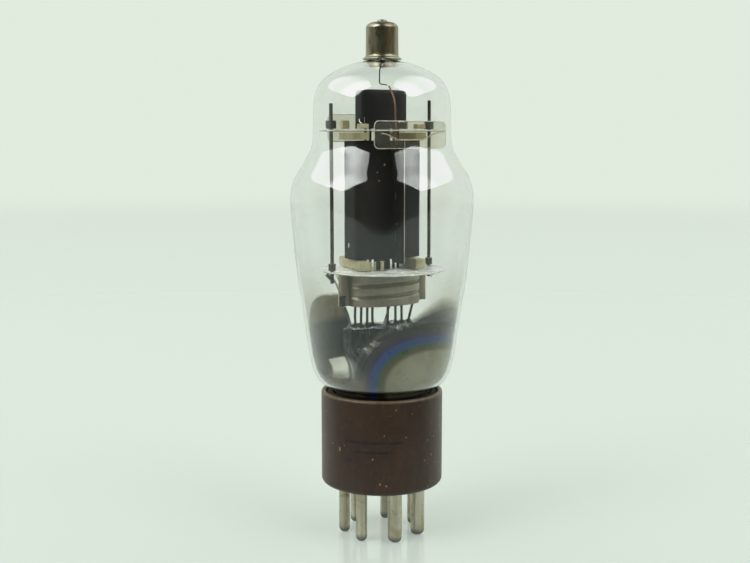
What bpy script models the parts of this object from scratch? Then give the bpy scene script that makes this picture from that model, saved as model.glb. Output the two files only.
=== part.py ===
"""Beam-power valve with a shouldered glass bulb, a seven-pin moulded base and a metal top cap.

Metres, +Z up. The origin is on the tube's axis at the level of the pin tips; -Y is the front.
The electrode mount is built with X along its broad side and turned by MOUNT_YAW about the axis.
"""

import math

import bmesh
import bpy

MM = 0.001
GAP = 0.3

MOUNT_YAW = math.radians(32.0)
ROUND = 48

# glass envelope
BULB_WALL = 0.85
NECK_R = 14.0
NECK_Z = 31.0
SEAL_HOLE_R = 0.65
BULB_PROFILE = [
    (2.6, 137.6), (3.0, 136.2), (3.6, 135.0), (5.4, 134.5), (7.6, 134.05), (9.6, 133.4), (11.6, 132.6),
    (13.4, 131.7), (15.2, 130.6), (16.8, 129.2), (18.0, 127.4), (18.8, 125.0), (19.2, 122.0), (19.3, 116.0),
    (19.45, 112.8), (20.0, 110.5), (21.2, 108.6), (22.9, 105.8), (24.3, 103.1), (25.2, 100.6), (25.7, 98.0),
    (25.75, 94.5), (25.45, 90.5), (24.75, 82.5), (23.95, 74.5), (22.9, 67.5), (21.9, 60.5), (20.85, 53.0),
    (20.0, 49.3), (19.1, 46.7), (18.0, 44.9), (16.9, 43.95), (15.6, 43.5), (14.7, 43.0), (14.15, 42.0),
]

# base
BASE_R = 17.36
BASE_Z = 15.24
BASE_TOP = 42.12
BASE_WALL = 1.36
BASE_FLOOR = 2.6
PIN_CIRCLE_R = 10.86
PIN_COUNT = 7
PIN_FIRST = math.radians(-70.6)
PIN_R_HEATER = 1.984
PIN_R = 1.588
PIN_WALL = 0.45
PIN_NAMES = ["heater_a", "heater_b", "screen", "grid", "cathode", "spare", "beam"]

# top cap
CAP_R = 4.55
CAP_FLANGE_R = 5.45
CAP_WALL = 0.5
CAP_Z = 135.0
CAP_TOP = 145.25

# stem
STEM_TUBE_R = 8.5
STEM_WALL = 0.85
PRESS_HALF = (12.8, 2.6)
PRESS_TOP = 60.9
EXHAUST_R = 1.5

# electrode mount
DISC_R = 17.45
DISC_T = 0.4
LOWER_DISC_Z = 76.45
TOP_MICA_Z = 115.3
ROD_R = 0.5
ROD_AT = 16.2
ROD_TOP = (122.4, 123.8)
BAR_WIDTH = 2.9
BAR_LOWER_Z = (77.15, 79.8)
BAR_UPPER_Z = (113.0, 115.0)
BLOCK_Z = 116.05
BAR_YAW = math.radians(21.5)
BARS = {"left": (-7.9, -1.6, 17.4), "right": (8.3, 3.1, 14.0)}
SPACER_P = 14.1
SPACERS = (("spacer_front", -14.1, 11.3, 110.6, 118.0), ("spacer_rear", 14.1, 9.7, 112.4, 120.2))
SPACER_T = 0.3
ANODE_Z = (80.1, 112.7)
ANODE_FIN_Z = 79.2
ANODE_T = 0.4
ANODE_END = (10.2, 3.3)
ANODE_BULGE = 5.6
ANODE_FIN = 11.4
CAN_Z = (116.1, 126.7)
SHIELD_Z = (67.0, 76.1)
LEAD_R = 0.32
LEADS_D = [-10.5, -8.8, -7.0, -4.9, -3.1, 1.9, 4.6, 6.8, 9.2]

FINISHES = {
    "clear_glass": ((0.9, 0.93, 0.92), 0.05, 0.0),
    "phenolic": ((0.13, 0.075, 0.05), 0.45, 0.0),
    "tinned_brass": ((0.62, 0.59, 0.52), 0.32, 1.0),
    "cap_metal": ((0.5, 0.47, 0.38), 0.28, 1.0),
    "cement": ((0.12, 0.09, 0.07), 0.9, 0.0),
    "solder": ((0.45, 0.45, 0.45), 0.35, 1.0),
    "carbonised": ((0.03, 0.035, 0.035), 0.6, 0.0),
    "nickel": ((0.42, 0.42, 0.4), 0.35, 1.0),
    "copper": ((0.55, 0.3, 0.22), 0.35, 1.0),
    "mica": ((0.6, 0.58, 0.53), 0.25, 0.0),
    "steatite": ((0.6, 0.56, 0.42), 0.7, 0.0),
    "oxide_cathode": ((0.8, 0.8, 0.78), 0.8, 0.0),
    "alumina": ((0.85, 0.85, 0.83), 0.8, 0.0),
    "grid_wire": ((0.45, 0.42, 0.35), 0.4, 1.0),
    "dark_metal": ((0.09, 0.1, 0.1), 0.45, 1.0),
}


def clear_scene():
    for obj in list(bpy.data.objects):
        bpy.data.objects.remove(obj, do_unlink=True)


def finish(name):
    mat = bpy.data.materials.get(name)
    if mat is None:
        colour, rough, metal = FINISHES[name]
        mat = bpy.data.materials.new(name)
        mat.use_nodes = True
        shader = mat.node_tree.nodes["Principled BSDF"]
        shader.inputs["Base Color"].default_value = (*colour, 1.0)
        shader.inputs["Roughness"].default_value = rough
        shader.inputs["Metallic"].default_value = metal
    return mat


def add_object(name, verts, faces, material=None, yaw=0.0, smooth=True):
    """Millimetre vertices and faces become one named object, turned by yaw about the axis."""
    c, s = math.cos(yaw), math.sin(yaw)
    placed = [((x * c - y * s) * MM, (x * s + y * c) * MM, z * MM) for x, y, z in verts]
    mesh = bpy.data.meshes.new(name)
    mesh.from_pydata(placed, [], faces)
    bm = bmesh.new()
    bm.from_mesh(mesh)
    bmesh.ops.recalc_face_normals(bm, faces=bm.faces)
    bm.to_mesh(mesh)
    bm.free()
    obj = bpy.data.objects.new(name, mesh)
    bpy.context.scene.collection.objects.link(obj)
    if material:
        mesh.materials.append(finish(material))
    for poly in mesh.polygons:
        poly.use_smooth = smooth
    return obj


def cut(obj, cutters):
    """Takes the cutters out of the object and removes them."""
    for tool in cutters:
        tool.hide_render = True
        tool.display_type = "WIRE"
        mod = obj.modifiers.new("cut", "BOOLEAN")
        mod.operation = "DIFFERENCE"
        mod.solver = "EXACT"
        mod.object = tool
    apply_modifiers(obj)
    for tool in cutters:
        bpy.data.objects.remove(tool, do_unlink=True)


def join(obj, others):
    """Fuses the others into the object as one solid."""
    for tool in others:
        mod = obj.modifiers.new("join", "BOOLEAN")
        mod.operation = "UNION"
        mod.solver = "EXACT"
        mod.object = tool
    apply_modifiers(obj)
    for tool in others:
        bpy.data.objects.remove(tool, do_unlink=True)


def apply_modifiers(obj):
    graph = bpy.context.evaluated_depsgraph_get()
    mesh = bpy.data.meshes.new_from_object(obj.evaluated_get(graph))
    obj.modifiers.clear()
    obj.data = mesh


def ring_faces(rings, closed):
    """Quads between consecutive rings of equal length; closed also joins the last ring to the first."""
    count = len(rings[0])
    faces = []
    pairs = list(zip(rings, rings[1:]))
    if closed:
        pairs.append((rings[-1], rings[0]))
    for low, high in pairs:
        for i in range(count):
            j = (i + 1) % count
            faces.append((low[i], low[j], high[j], high[i]))
    return faces


def loft(name, loops, material=None, yaw=0.0, closed=False, smooth=True):
    """Loops of 3-D points of one length, skinned in order; open lofts get flat end caps."""
    verts = [p for loop in loops for p in loop]
    count = len(loops[0])
    rings = [list(range(k * count, (k + 1) * count)) for k in range(len(loops))]
    faces = ring_faces(rings, closed)
    if not closed:
        faces.append(tuple(reversed(rings[0])))
        faces.append(tuple(rings[-1]))
    return add_object(name, verts, faces, material, yaw, smooth)


def circle(radius, z, sides, at=(0.0, 0.0), squash=1.0):
    step = 2 * math.pi / sides
    return [
        (at[0] + radius * math.cos(i * step), at[1] + radius * squash * math.sin(i * step), z)
        for i in range(sides)
    ]


def turned(name, profile, material=None, at=(0.0, 0.0), sides=ROUND, closed=False):
    """Profile of (radius, z) turned about a vertical axis; closed profiles make rings and tubes."""
    return loft(name, [circle(r, z, sides, at) for r, z in profile], material, closed=closed)


def box(name, centre, size, material=None, yaw=0.0, turn=0.0):
    cx, cy, cz = centre
    c, s = math.cos(turn), math.sin(turn)
    corners = [(-1, -1), (1, -1), (1, 1), (-1, 1)]
    loops = []
    for z in (cz - size[2] / 2, cz + size[2] / 2):
        loop = []
        for ex, ey in corners:
            x, y = ex * size[0] / 2, ey * size[1] / 2
            loop.append((cx + x * c - y * s, cy + x * s + y * c, z))
        loops.append(loop)
    return loft(name, loops, material, yaw, smooth=False)


def unit(v):
    size = math.sqrt(sum(c * c for c in v))
    return tuple(c / size for c in v)


def cross(a, b):
    return (a[1] * b[2] - a[2] * b[1], a[2] * b[0] - a[0] * b[2], a[0] * b[1] - a[1] * b[0])


def wire(name, path, radius, material, yaw=0.0, sides=8, width=None):
    """Round wire along a path of points; a width makes it a flat ribbon of thickness 2 * radius."""
    side = (width or 2 * radius) / 2
    loops = []
    for i, point in enumerate(path):
        before, after = path[max(i - 1, 0)], path[min(i + 1, len(path) - 1)]
        along = unit(tuple(b - a for a, b in zip(before, after)))
        guide = (0.0, 1.0, 0.0) if abs(along[1]) < 0.8 else (1.0, 0.0, 0.0)
        u = unit(cross(guide, along))
        v = cross(along, u)
        loop = []
        for k in range(sides):
            t = 2 * math.pi * (k + 0.5) / sides
            a, b = side * math.cos(t), radius * math.sin(t)
            loop.append(tuple(p + a * e + b * f for p, e, f in zip(point, u, v)))
        loops.append(loop)
    return loft(name, loops, material, yaw)


def thicken(path, thickness):
    """Closed outline of a folded strip: the path and its copy moved to the left by the thickness."""
    moved = []
    for i, point in enumerate(path):
        sides = []
        if i > 0:
            sides.append(unit((point[0] - path[i - 1][0], point[1] - path[i - 1][1])))
        if i < len(path) - 1:
            sides.append(unit((path[i + 1][0] - point[0], path[i + 1][1] - point[1])))
        normals = [(-t[1], t[0]) for t in sides]
        nx, ny = sum(n[0] for n in normals), sum(n[1] for n in normals)
        mean = unit((nx, ny))
        reach = thickness / max(0.5, mean[0] * normals[0][0] + mean[1] * normals[0][1])
        moved.append((point[0] + mean[0] * reach, point[1] + mean[1] * reach))
    return list(path) + list(reversed(moved))


def plate(name, outline, z0, z1, material=None, yaw=0.0):
    loops = [[(x, y, z) for x, y in outline] for z in (z0, z1)]
    return loft(name, loops, material, yaw, smooth=False)


def to_world(x, y):
    c, s = math.cos(MOUNT_YAW), math.sin(MOUNT_YAW)
    return x * c - y * s, x * s + y * c


def inner_profile(profile, wall):
    """The profile moved inwards by the wall along its own normals."""
    inner = []
    for i, (r, z) in enumerate(profile):
        before, after = profile[max(i - 1, 0)], profile[min(i + 1, len(profile) - 1)]
        tr, tz = unit((after[0] - before[0], after[1] - before[1]))
        inner.append((r + tz * wall, z - tr * wall))
    return inner


def build_bulb():
    outer = BULB_PROFILE + [(NECK_R, 40.0), (NECK_R, NECK_Z)]
    dome = outer[3:]
    inner = inner_profile(dome, BULB_WALL)
    inner = inner[:6:2] + inner[6:16:2] + inner[17:]
    inner = [(SEAL_HOLE_R, 133.75), (3.2, 133.75)] + inner
    top = [(SEAL_HOLE_R, 137.9), (1.9, 137.9)]
    turned("glass_bulb", top + outer + inner[::-1], "clear_glass", closed=True)


def build_stem():
    shapes = [
        (12.75, 12.75, 31.3), (11.9, 11.9, 33.6), (10.3, 10.3, 37.2), (9.0, 9.0, 41.5),
        (STEM_TUBE_R, STEM_TUBE_R, 46.5), (10.3, 6.3, 50.8), (12.1, 3.9, 54.0), (12.8, 2.8, 56.6),
        (*PRESS_HALF, 60.4), (12.5, 2.3, PRESS_TOP),
    ]
    hollow = [(a - STEM_WALL, b - STEM_WALL, z) for a, b, z in shapes[:7]]
    hollow[0] = (12.1, 12.1, 31.3)
    hollow[-1] = (11.2, 2.6, 53.6)
    outer = [circle(a, z, 32, squash=b / a) for a, b, z in shapes]
    inner = [circle(a, z, 32, squash=b / a) for a, b, z in hollow]
    inner.append(circle(10.9, 54.3, 32, squash=0.12))
    loops = list(reversed(inner)) + outer
    stem = loft("glass_stem", loops, "clear_glass", MOUNT_YAW)
    bores = [
        add_bore(d, 0.0, 53.2, PRESS_TOP + 1.0, LEAD_R + GAP, MOUNT_YAW) for d in LEADS_D
    ]
    cut(stem, bores)
    tube = [(EXHAUST_R, 50.2), (EXHAUST_R, 27.5), (0.9, 25.4), (0.25, 24.9)]
    bore = [(0.25, 26.4), (0.7, 27.4), (0.85, 28.5), (0.85, 50.2)]
    turned("exhaust_tube", tube, "clear_glass", sides=16)
    hole = turned("exhaust_bore", bore[:-1] + [(0.85, 51.0)], sides=12)
    cut(bpy.data.objects["exhaust_tube"], [hole])


def add_bore(x, y, z0, z1, radius, yaw=0.0, sides=10):
    return loft("bore", [circle(radius, z, sides, (x, y)) for z in (z0, z1)], yaw=yaw)


def pin_places():
    for i in range(PIN_COUNT):
        angle = PIN_FIRST + i * 2 * math.pi / PIN_COUNT
        radius = PIN_R_HEATER if i < 2 else PIN_R
        yield i, PIN_CIRCLE_R * math.cos(angle), PIN_CIRCLE_R * math.sin(angle), radius


def build_base():
    inside = BASE_R - BASE_WALL
    profile = [
        (0.05, BASE_Z), (BASE_R - 2.2, BASE_Z), (BASE_R - 0.9, BASE_Z + 0.35), (BASE_R - 0.25, BASE_Z + 1.0),
        (BASE_R, BASE_Z + 2.2), (BASE_R, BASE_TOP - 0.55), (BASE_R - 0.35, BASE_TOP - 0.05),
        (BASE_R - 0.6, BASE_TOP), (inside + 0.25, BASE_TOP), (inside, BASE_TOP - 0.3),
        (inside, BASE_Z + BASE_FLOOR + 0.6), (inside - 0.6, BASE_Z + BASE_FLOOR), (0.05, BASE_Z + BASE_FLOOR),
    ]
    base = turned("base_shell", profile, "phenolic")
    holes = [
        add_bore(x, y, BASE_Z - 1, BASE_Z + BASE_FLOOR + 1, radius + GAP, sides=16)
        for _, x, y, radius in pin_places()
    ]
    cut(base, holes)
    for i, x, y, radius in pin_places():
        build_pin("pin_" + PIN_NAMES[i], x, y, radius)
    ring = [(NECK_R + GAP, 33.0), (inside - GAP, 33.0), (inside - GAP, 41.2), (NECK_R + GAP + 0.1, 41.6)]
    turned("basing_cement", ring, "cement", closed=True)


def build_pin(name, x, y, radius):
    bore = radius - PIN_WALL
    shelf = BASE_Z + BASE_FLOOR + GAP
    profile = [
        (radius * 0.28, 0.0), (radius * 0.68, 0.28), (radius * 0.93, 0.95), (radius, 1.9), (radius, shelf),
        (radius + 0.55, shelf), (radius + 0.55, shelf + 0.5), (bore, shelf + 0.5), (bore, 3.0), (0.25, 2.4),
    ]
    turned(name, profile, "tinned_brass", (x, y), sides=18)


def build_cap():
    inside = CAP_R - CAP_WALL
    profile = [
        (inside, CAP_Z + 0.5), (4.6, CAP_Z + 0.3), (4.9, CAP_Z), (CAP_FLANGE_R - 0.15, CAP_Z),
        (CAP_FLANGE_R, CAP_Z + 0.25), (CAP_FLANGE_R - 0.1, CAP_Z + 0.6), (4.95, CAP_Z + 1.05),
        (CAP_R + 0.05, CAP_Z + 1.75), (CAP_R, CAP_Z + 2.6), (CAP_R - 0.05, CAP_TOP - 1.5),
        (CAP_R - 0.3, CAP_TOP - 0.8), (CAP_R - 0.85, CAP_TOP - 0.35), (2.6, CAP_TOP - 0.1),
        (0.6, CAP_TOP), (0.6, CAP_TOP - CAP_WALL), (2.6, CAP_TOP - CAP_WALL - 0.1),
        (3.6, CAP_TOP - 1.05), (inside, CAP_TOP - 1.7),
    ]
    turned("top_cap", profile, "cap_metal", sides=36, closed=True)
    ring = [(3.5, 135.9), (3.72, 135.9), (3.72, 140.0), (3.1, 140.0), (3.05, 138.0)]
    turned("cap_cement", ring, "cement", sides=24, closed=True)
    z = CAP_TOP + GAP
    dome = [(1.45, z - 0.15), (1.25, z + 0.2), (0.7, z + 0.42), (0.15, z + 0.5)]
    turned("cap_solder", [(0.15, z - 0.0)] + [(1.2, z - 0.05)] + dome, "solder", sides=16)


def build_anode_lead():
    top = (0.0, 0.0, CAP_TOP - 0.15)
    path = [
        top, (0.0, 0.0, 136.0), (-0.15, 0.0, 133.6), (-0.65, -0.25, 132.6), (-0.7, -0.3, 129.1),
        (-0.35, -0.9, 128.65), (1.25, -3.75, 128.1),
    ]
    wire("anode_seal_wire", path, 0.22, "dark_metal")
    path = [
        (-0.95, -4.95, 127.75), (-0.95, -5.8, 126.7), (-0.95, -7.4, 124.4), (-1.0, -8.1, 122.4),
        (-1.1, -8.5, 119.4), (-1.25, -9.1, 115.5), (-1.25, -9.5, 113.0), (-1.25, -9.5, 111.6),
    ]
    wire("anode_ribbon", path, 0.1, "copper", MOUNT_YAW, sides=4, width=0.62)


def half_anode(side):
    end, half = ANODE_END
    end += 0.15 * (side + 1)
    seam = side * GAP / 2
    return [
        (seam, -ANODE_FIN), (seam, -ANODE_BULGE), (side * 5.0, -4.75), (side * end * 0.93, -half - 0.2),
        (side * end, -half + 0.4), (side * end, half - 0.4), (side * end * 0.93, half + 0.2),
        (side * 5.0, 4.75), (seam, ANODE_BULGE), (seam, ANODE_FIN),
    ]


def build_anode():
    for name, side in (("anode_left", -1), ("anode_right", 1)):
        outline = thicken(half_anode(side), ANODE_T if side < 0 else -ANODE_T)
        body = plate(name, outline, *ANODE_Z, "carbonised", MOUNT_YAW)
        x = side * (GAP + ANODE_T) / 2
        length = ANODE_FIN - ANODE_BULGE - 0.6
        foot = box("foot", (x, -ANODE_FIN + length / 2, ANODE_FIN_Z + 0.6), (ANODE_T, length, 1.2), yaw=MOUNT_YAW)
        join(body, [foot])


def oval(a, b, count, squareness=0.8):
    """Points of a soft rounded rectangle with half sizes a and b."""
    points = []
    for i in range(count):
        t = 2 * math.pi * (i + 0.5) / count
        c, s = math.cos(t), math.sin(t)
        points.append((math.copysign(abs(c) ** squareness, c) * a, math.copysign(abs(s) ** squareness, s) * b))
    return points


def tube_of(name, outer, inner, z0, z1, material, lid=0.0):
    """An oval sleeve; a lid closes its top with that thickness."""
    low_out = [(x, y, z0) for x, y in outer]
    high_out = [(x, y, z1) for x, y in outer]
    high_in = [(x, y, z1 - lid) for x, y in inner]
    low_in = [(x, y, z0) for x, y in inner]
    if lid:
        loops = [high_in, low_in, low_out, high_out]
        return loft(name, loops, material, MOUNT_YAW)
    return loft(name, [low_out, high_out, high_in, low_in], material, MOUNT_YAW, closed=True)


def build_can():
    outer = [(-7.4, -2.1), (-4.2, -3.3), (0.0, -4.1), (4.2, -3.3), (7.4, -2.1)]
    outer = outer + [(-x, -y) for x, y in outer]
    outer = [(x - 0.35, y) for x, y in outer]
    inner = [((x + 0.35) * 0.945 - 0.35, y * 0.88) for x, y in outer]
    tube_of("upper_shield_can", outer, inner, *CAN_Z, "carbonised", lid=0.35)


def build_discs():
    for name, z, material in (("lower_disc", LOWER_DISC_Z, "mica"), ("top_mica", TOP_MICA_Z, "mica")):
        loops = [circle(DISC_R, h, ROUND) for h in (z, z + DISC_T)]
        disc = loft(name, loops, material, MOUNT_YAW, smooth=False)
        holes = [add_bore(s * ROD_AT, 0, z - 1, z + 2, ROD_R + GAP, MOUNT_YAW) for s in (-1, 1)]
        holes += [add_bore(s * 3.9, 0, z - 1, z + 2, 0.4 + GAP, MOUNT_YAW) for s in (-1, 1)]
        holes += [add_bore(s * 5.4, 0, z - 1, z + 2, 0.4 + GAP, MOUNT_YAW) for s in (-1, 1)]
        points = oval(2.6 + GAP, 1.0 + GAP, 16)
        holes.append(plate("slot", points, z - 1, z + 2, yaw=MOUNT_YAW))
        if name == "top_mica":
            holes.append(box("slot", (-1.25, -9.15, z), (1.7, 1.4, 3.0), yaw=MOUNT_YAW))
            for p in (-SPACER_P, SPACER_P):
                holes.append(box("slot", (0, p, z), (8.0, SPACER_T + 2 * GAP, 3.0), yaw=MOUNT_YAW))
        cut(disc, holes)


def rounded_rect(half_x, z0, z1, radius, steps=4):
    points = []
    centres = [
        (half_x - radius, z1 - radius, 0), (-half_x + radius, z1 - radius, 1),
        (-half_x + radius, z0 + radius, 2), (half_x - radius, z0 + radius, 3),
    ]
    for cx, cz, quarter in centres:
        for i in range(steps + 1):
            t = (quarter + i / steps) * math.pi / 2
            points.append((cx + radius * math.cos(t), cz + radius * math.sin(t)))
    return points


def build_spacers():
    """Upright mica plates cross-lapped into the top mica, their corners bearing on the glass."""
    for name, p, half, z0, z1 in SPACERS:
        shape = rounded_rect(half, z0, z1, 1.3)
        loops = [[(x, y, z) for x, z in shape] for y in (p - SPACER_T / 2, p + SPACER_T / 2)]
        spacer = loft(name, loops, "mica", MOUNT_YAW, smooth=False)
        height = DISC_T + 2 * GAP
        slits = [
            box("slit", (s * 8.7, p, TOP_MICA_Z + DISC_T / 2), (10.0, 2.0, height), yaw=MOUNT_YAW)
            for s in (-1, 1)
        ]
        cut(spacer, slits)


def build_rods():
    for name, side, top in (("left", -1, ROD_TOP[0]), ("right", 1, ROD_TOP[1])):
        x = side * ROD_AT
        path = [(x, 0.0, 73.6), (x, 0.0, top - 0.12), (x, 0.0, top)]
        wire("support_rod_" + name, path, ROD_R, "dark_metal", MOUNT_YAW, sides=12)
        at = to_world(x, 0.0)
        for level, z0, z1, outer in (("lower", 77.15, 79.1, 1.02), ("upper", 116.0, 118.2, 1.4)):
            inner = ROD_R + GAP
            ring = [(inner, z0), (outer, z0), (outer, z1), (inner, z1)]
            turned("collar_" + name + "_" + level, ring, "dark_metal", at, sides=16, closed=True)


def build_insulators():
    """Steatite bars below the top mica and on the lower disc, and end blocks above the top mica."""
    for side, (cx, cy, length) in BARS.items():
        for level, (z0, z1) in (("lower", BAR_LOWER_Z), ("upper", BAR_UPPER_Z)):
            centre, size = (cx, cy, (z0 + z1) / 2), (BAR_WIDTH, length, z1 - z0)
            box("bar_" + side + "_" + level, centre, size, "steatite", turn=BAR_YAW)
        for end, way, width, height in (("front", -1, 2.6, 1.3), ("rear", 1, 2.1, 2.4)):
            reach = way * (length / 2 - 1.4)
            x, y = cx - reach * math.sin(BAR_YAW), cy + reach * math.cos(BAR_YAW)
            at = (x, y, BLOCK_Z + height / 2)
            box("block_" + side + "_" + end, at, (width, width, height), "steatite", turn=BAR_YAW)


def build_grid(name, reach, half, z0, z1, turns):
    """Two side rods carrying evenly spaced oval turns of fine wire."""
    rods = [wire("rod", [(s * reach, 0, z0), (s * reach, 0, z1)], 0.4, "grid_wire", sides=8) for s in (-1, 1)]
    body = rods[0]
    others = [rods[1]]
    for k in range(turns):
        z = 82.0 + k * (110.5 - 82.0) / (turns - 1)
        others.append(wire_ring(reach, half, z))
    join(body, others)
    body.name = name
    turn_mesh(body, MOUNT_YAW)


def turn_mesh(obj, yaw):
    """Turns the object's own vertices about the axis."""
    c, s = math.cos(yaw), math.sin(yaw)
    for v in obj.data.vertices:
        x, y = v.co.x, v.co.y
        v.co.x, v.co.y = x * c - y * s, x * s + y * c


def wire_ring(reach, half, z, radius=0.13, count=16):
    loops = []
    for i in range(count):
        t = 2 * math.pi * i / count
        loop = []
        for a, b in ((radius, 0), (0, radius), (-radius, 0), (0, -radius)):
            loop.append(((reach + a) * math.cos(t), (half + a) * math.sin(t), z + b))
        loops.append(loop)
    return loft("turn", loops, closed=True)


def build_core():
    outer = oval(2.6, 1.0, 16)
    inner = [(x * 0.9, y * 0.74) for x, y in outer]
    tube_of("cathode_sleeve", outer, inner, 74.0, 117.6, "oxide_cathode")
    legs = [(-1.1, 0, 70.4), (-1.1, 0, 114.6), (-0.7, 0, 115.4), (0.7, 0, 115.4), (1.1, 0, 114.6), (1.1, 0, 70.4)]
    wire("heater", legs, 0.24, "alumina", MOUNT_YAW, sides=6)
    build_grid("control_grid", 3.9, 1.9, 73.2, 118.6, 11)
    build_grid("screen_grid", 5.4, 2.9, 72.6, 119.2, 11)
    half = [(2.6, -4.1), (5.4, -3.75), (6.9, -2.2), (6.9, 2.2), (5.4, 3.75), (2.6, 4.1)]
    for name, side in (("beam_plate_left", -1), ("beam_plate_right", 1)):
        path = [(side * x, y) for x, y in half]
        plate(name, thicken(path, 0.3 * side), 81.0, 111.4, "nickel", MOUNT_YAW)


def build_shield():
    """Two pressed half shells under the lower disc, meeting at flat side flanges, with two ribs each."""
    z0, z1 = SHIELD_Z
    steps = 14
    levels = [(z0, 0.0), (69.2, 0.0), (69.8, 0.35), (70.4, 0.0), (72.4, 0.0), (73.0, 0.35), (73.6, 0.0), (z1, 0.0)]
    for name, side in (("shield_front", -1), ("shield_rear", 1)):
        outer, inner = [], []
        for z, rib in levels:
            path = [(-14.0, 0.16)]
            for i in range(steps + 1):
                t = math.pi * i / steps
                bulge = 7.1 + rib * math.sin(t)
                path.append((-10.8 * math.cos(t), 0.16 + bulge * math.sin(t) ** 0.75))
            path.append((14.8, 0.16))
            outline = thicken(path, 0.35)
            outer.append([(x, side * y, z) for x, y in outline])
        loft(name, outer, "nickel", MOUNT_YAW)


def build_getter():
    """Open cup behind the press, hung from the rear half shell by a short wire."""
    x, y, z = 7.0, 10.6, 57.0
    cup = [(0.1, z), (2.5, z), (2.7, z + 1.3), (2.35, z + 1.3), (2.2, z + 0.4), (0.1, z + 0.4)]
    turned("getter_cup", cup, "nickel", to_world(x, y), sides=20)
    path = [(x, 5.9, 66.6), (x, 6.2, 65.8), (x, 9.4, 60.0), (x, 9.8, z + 0.75)]
    wire("getter_support", path, 0.3, "nickel", MOUNT_YAW)


def lead_route(d, place):
    """From inside the shield through the press; a lead with a pin place goes on down into that pin."""
    outward = abs(d) > 9
    head = (d * 1.17, 0.0, 66.65) if outward else (d * 0.97, 0.0, 71.5)
    top = [head, (d, 0.0, 61.2), (d, 0.0, 54.9)]
    if place is None:
        return top
    px, py = place
    way = math.copysign(1.0, py)
    low = [
        (d * 0.97, 0.0, 53.6), (d * 0.72, way * 1.2, 50.4), (d * 0.62, way * 2.9, 46.8), (px * 0.66, py * 0.66, 41.0),
        (px, py, 30.0), (px, py, 20.0), (px, py, 3.4),
    ]
    return top + low


def build_leads():
    c, s = math.cos(-MOUNT_YAW), math.sin(-MOUNT_YAW)
    places = [(x * c - y * s, x * s + y * c) for _, x, y, _ in pin_places()]
    places.sort()
    free = (3, 5)
    used = iter(places)
    for k, d in enumerate(LEADS_D):
        place = None if k in free else next(used)
        path = lead_route(d, place)
        wire("stem_lead_%d" % (k + 1), path, LEAD_R, "dark_metal", MOUNT_YAW)


def main():
    clear_scene()
    build_bulb()
    build_stem()
    build_base()
    build_cap()
    build_anode_lead()
    build_anode()
    build_can()
    build_discs()
    build_spacers()
    build_rods()
    build_insulators()
    build_core()
    build_shield()
    build_getter()
    build_leads()


main()
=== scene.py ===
"""Vacuum tube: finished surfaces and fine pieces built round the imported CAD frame.

All lengths are in millimetres until make() writes the mesh. The electrode mount is drawn in its own
axes, x along its broad side, and turned into place; every position comes from the CAD nodes.
"""
import math
import random

import bmesh
import bpy
from mathutils import Matrix, Vector, noise


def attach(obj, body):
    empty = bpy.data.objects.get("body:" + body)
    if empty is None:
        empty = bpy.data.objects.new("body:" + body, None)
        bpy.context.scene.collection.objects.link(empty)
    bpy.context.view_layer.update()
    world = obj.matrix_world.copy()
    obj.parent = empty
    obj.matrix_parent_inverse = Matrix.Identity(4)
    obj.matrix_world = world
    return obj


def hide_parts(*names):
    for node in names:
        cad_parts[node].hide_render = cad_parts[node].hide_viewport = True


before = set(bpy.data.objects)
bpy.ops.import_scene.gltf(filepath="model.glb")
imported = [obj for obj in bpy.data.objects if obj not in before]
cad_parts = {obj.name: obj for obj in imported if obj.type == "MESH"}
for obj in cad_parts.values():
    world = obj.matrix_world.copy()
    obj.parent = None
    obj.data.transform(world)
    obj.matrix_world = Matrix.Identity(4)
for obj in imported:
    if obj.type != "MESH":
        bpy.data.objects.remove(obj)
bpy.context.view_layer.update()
MM = 0.001
TAU = 2 * math.pi
SC = bpy.context.scene


# ---------------------------------------------------------------- places taken from the frame
def points_of(node, yaw):
    """Vertices of a CAD node in millimetres, in axes turned by yaw about the tube's own axis."""
    back = Matrix.Rotation(-yaw, 3, "Z")
    return [back @ v.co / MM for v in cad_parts[node].data.vertices]


def corners(points):
    """Lowest corner, highest corner and middle of some points."""
    low = Vector([min(p[i] for p in points) for i in range(3)])
    high = Vector([max(p[i] for p in points) for i in range(3)])
    return low, high, (low + high) / 2


def heading(node):
    """Direction in which the widest upright face of a CAD node looks."""
    sides = [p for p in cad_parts[node].data.polygons if abs(p.normal.z) < 0.1 and p.normal.x > 0]
    normal = max(sides, key=lambda p: p.area).normal
    return math.atan2(normal.y, normal.x)


ROD_RIGHT = corners(points_of("support_rod_right", 0.0))[2]
YAW = math.atan2(ROD_RIGHT.y, ROD_RIGHT.x)
BAR_YAW = heading("bar_left_lower")


def span(node, yaw=YAW):
    """Lowest corner, highest corner and middle of a CAD node, in the mount's axes unless told otherwise."""
    return corners(points_of(node, yaw))


def nodes_named(*starts):
    """CAD nodes whose names begin with any of the given words, in order."""
    return sorted(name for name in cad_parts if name.startswith(starts))


def middle(node, low, high, yaw=YAW):
    """Middle of the part of a CAD node that lies between two heights."""
    return corners([p for p in points_of(node, yaw) if low <= p.z <= high])[2]


def skyline(node):
    """Outer outline of a turned CAD node as (radius, height), from its top down."""
    widest = {}
    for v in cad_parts[node].data.vertices:
        if v.normal.xy.dot(v.co.xy) > 0.05 * v.co.xy.length:
            z = round(v.co.z / MM, 2)
            widest[z] = max(widest.get(z, 0.0), math.hypot(v.co.x, v.co.y) / MM)
    return [(widest[z], z) for z in sorted(widest, reverse=True)]


def in_room(x, y):
    """A point of the mount's axes in the tube's own axes."""
    c, s = math.cos(YAW), math.sin(YAW)
    return x * c - y * s, x * s + y * c


# ---------------------------------------------------------------- mesh helpers
def placed(name, data):
    """A new object in the scene."""
    obj = bpy.data.objects.new(name, data)
    SC.collection.objects.link(obj)
    return obj


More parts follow.
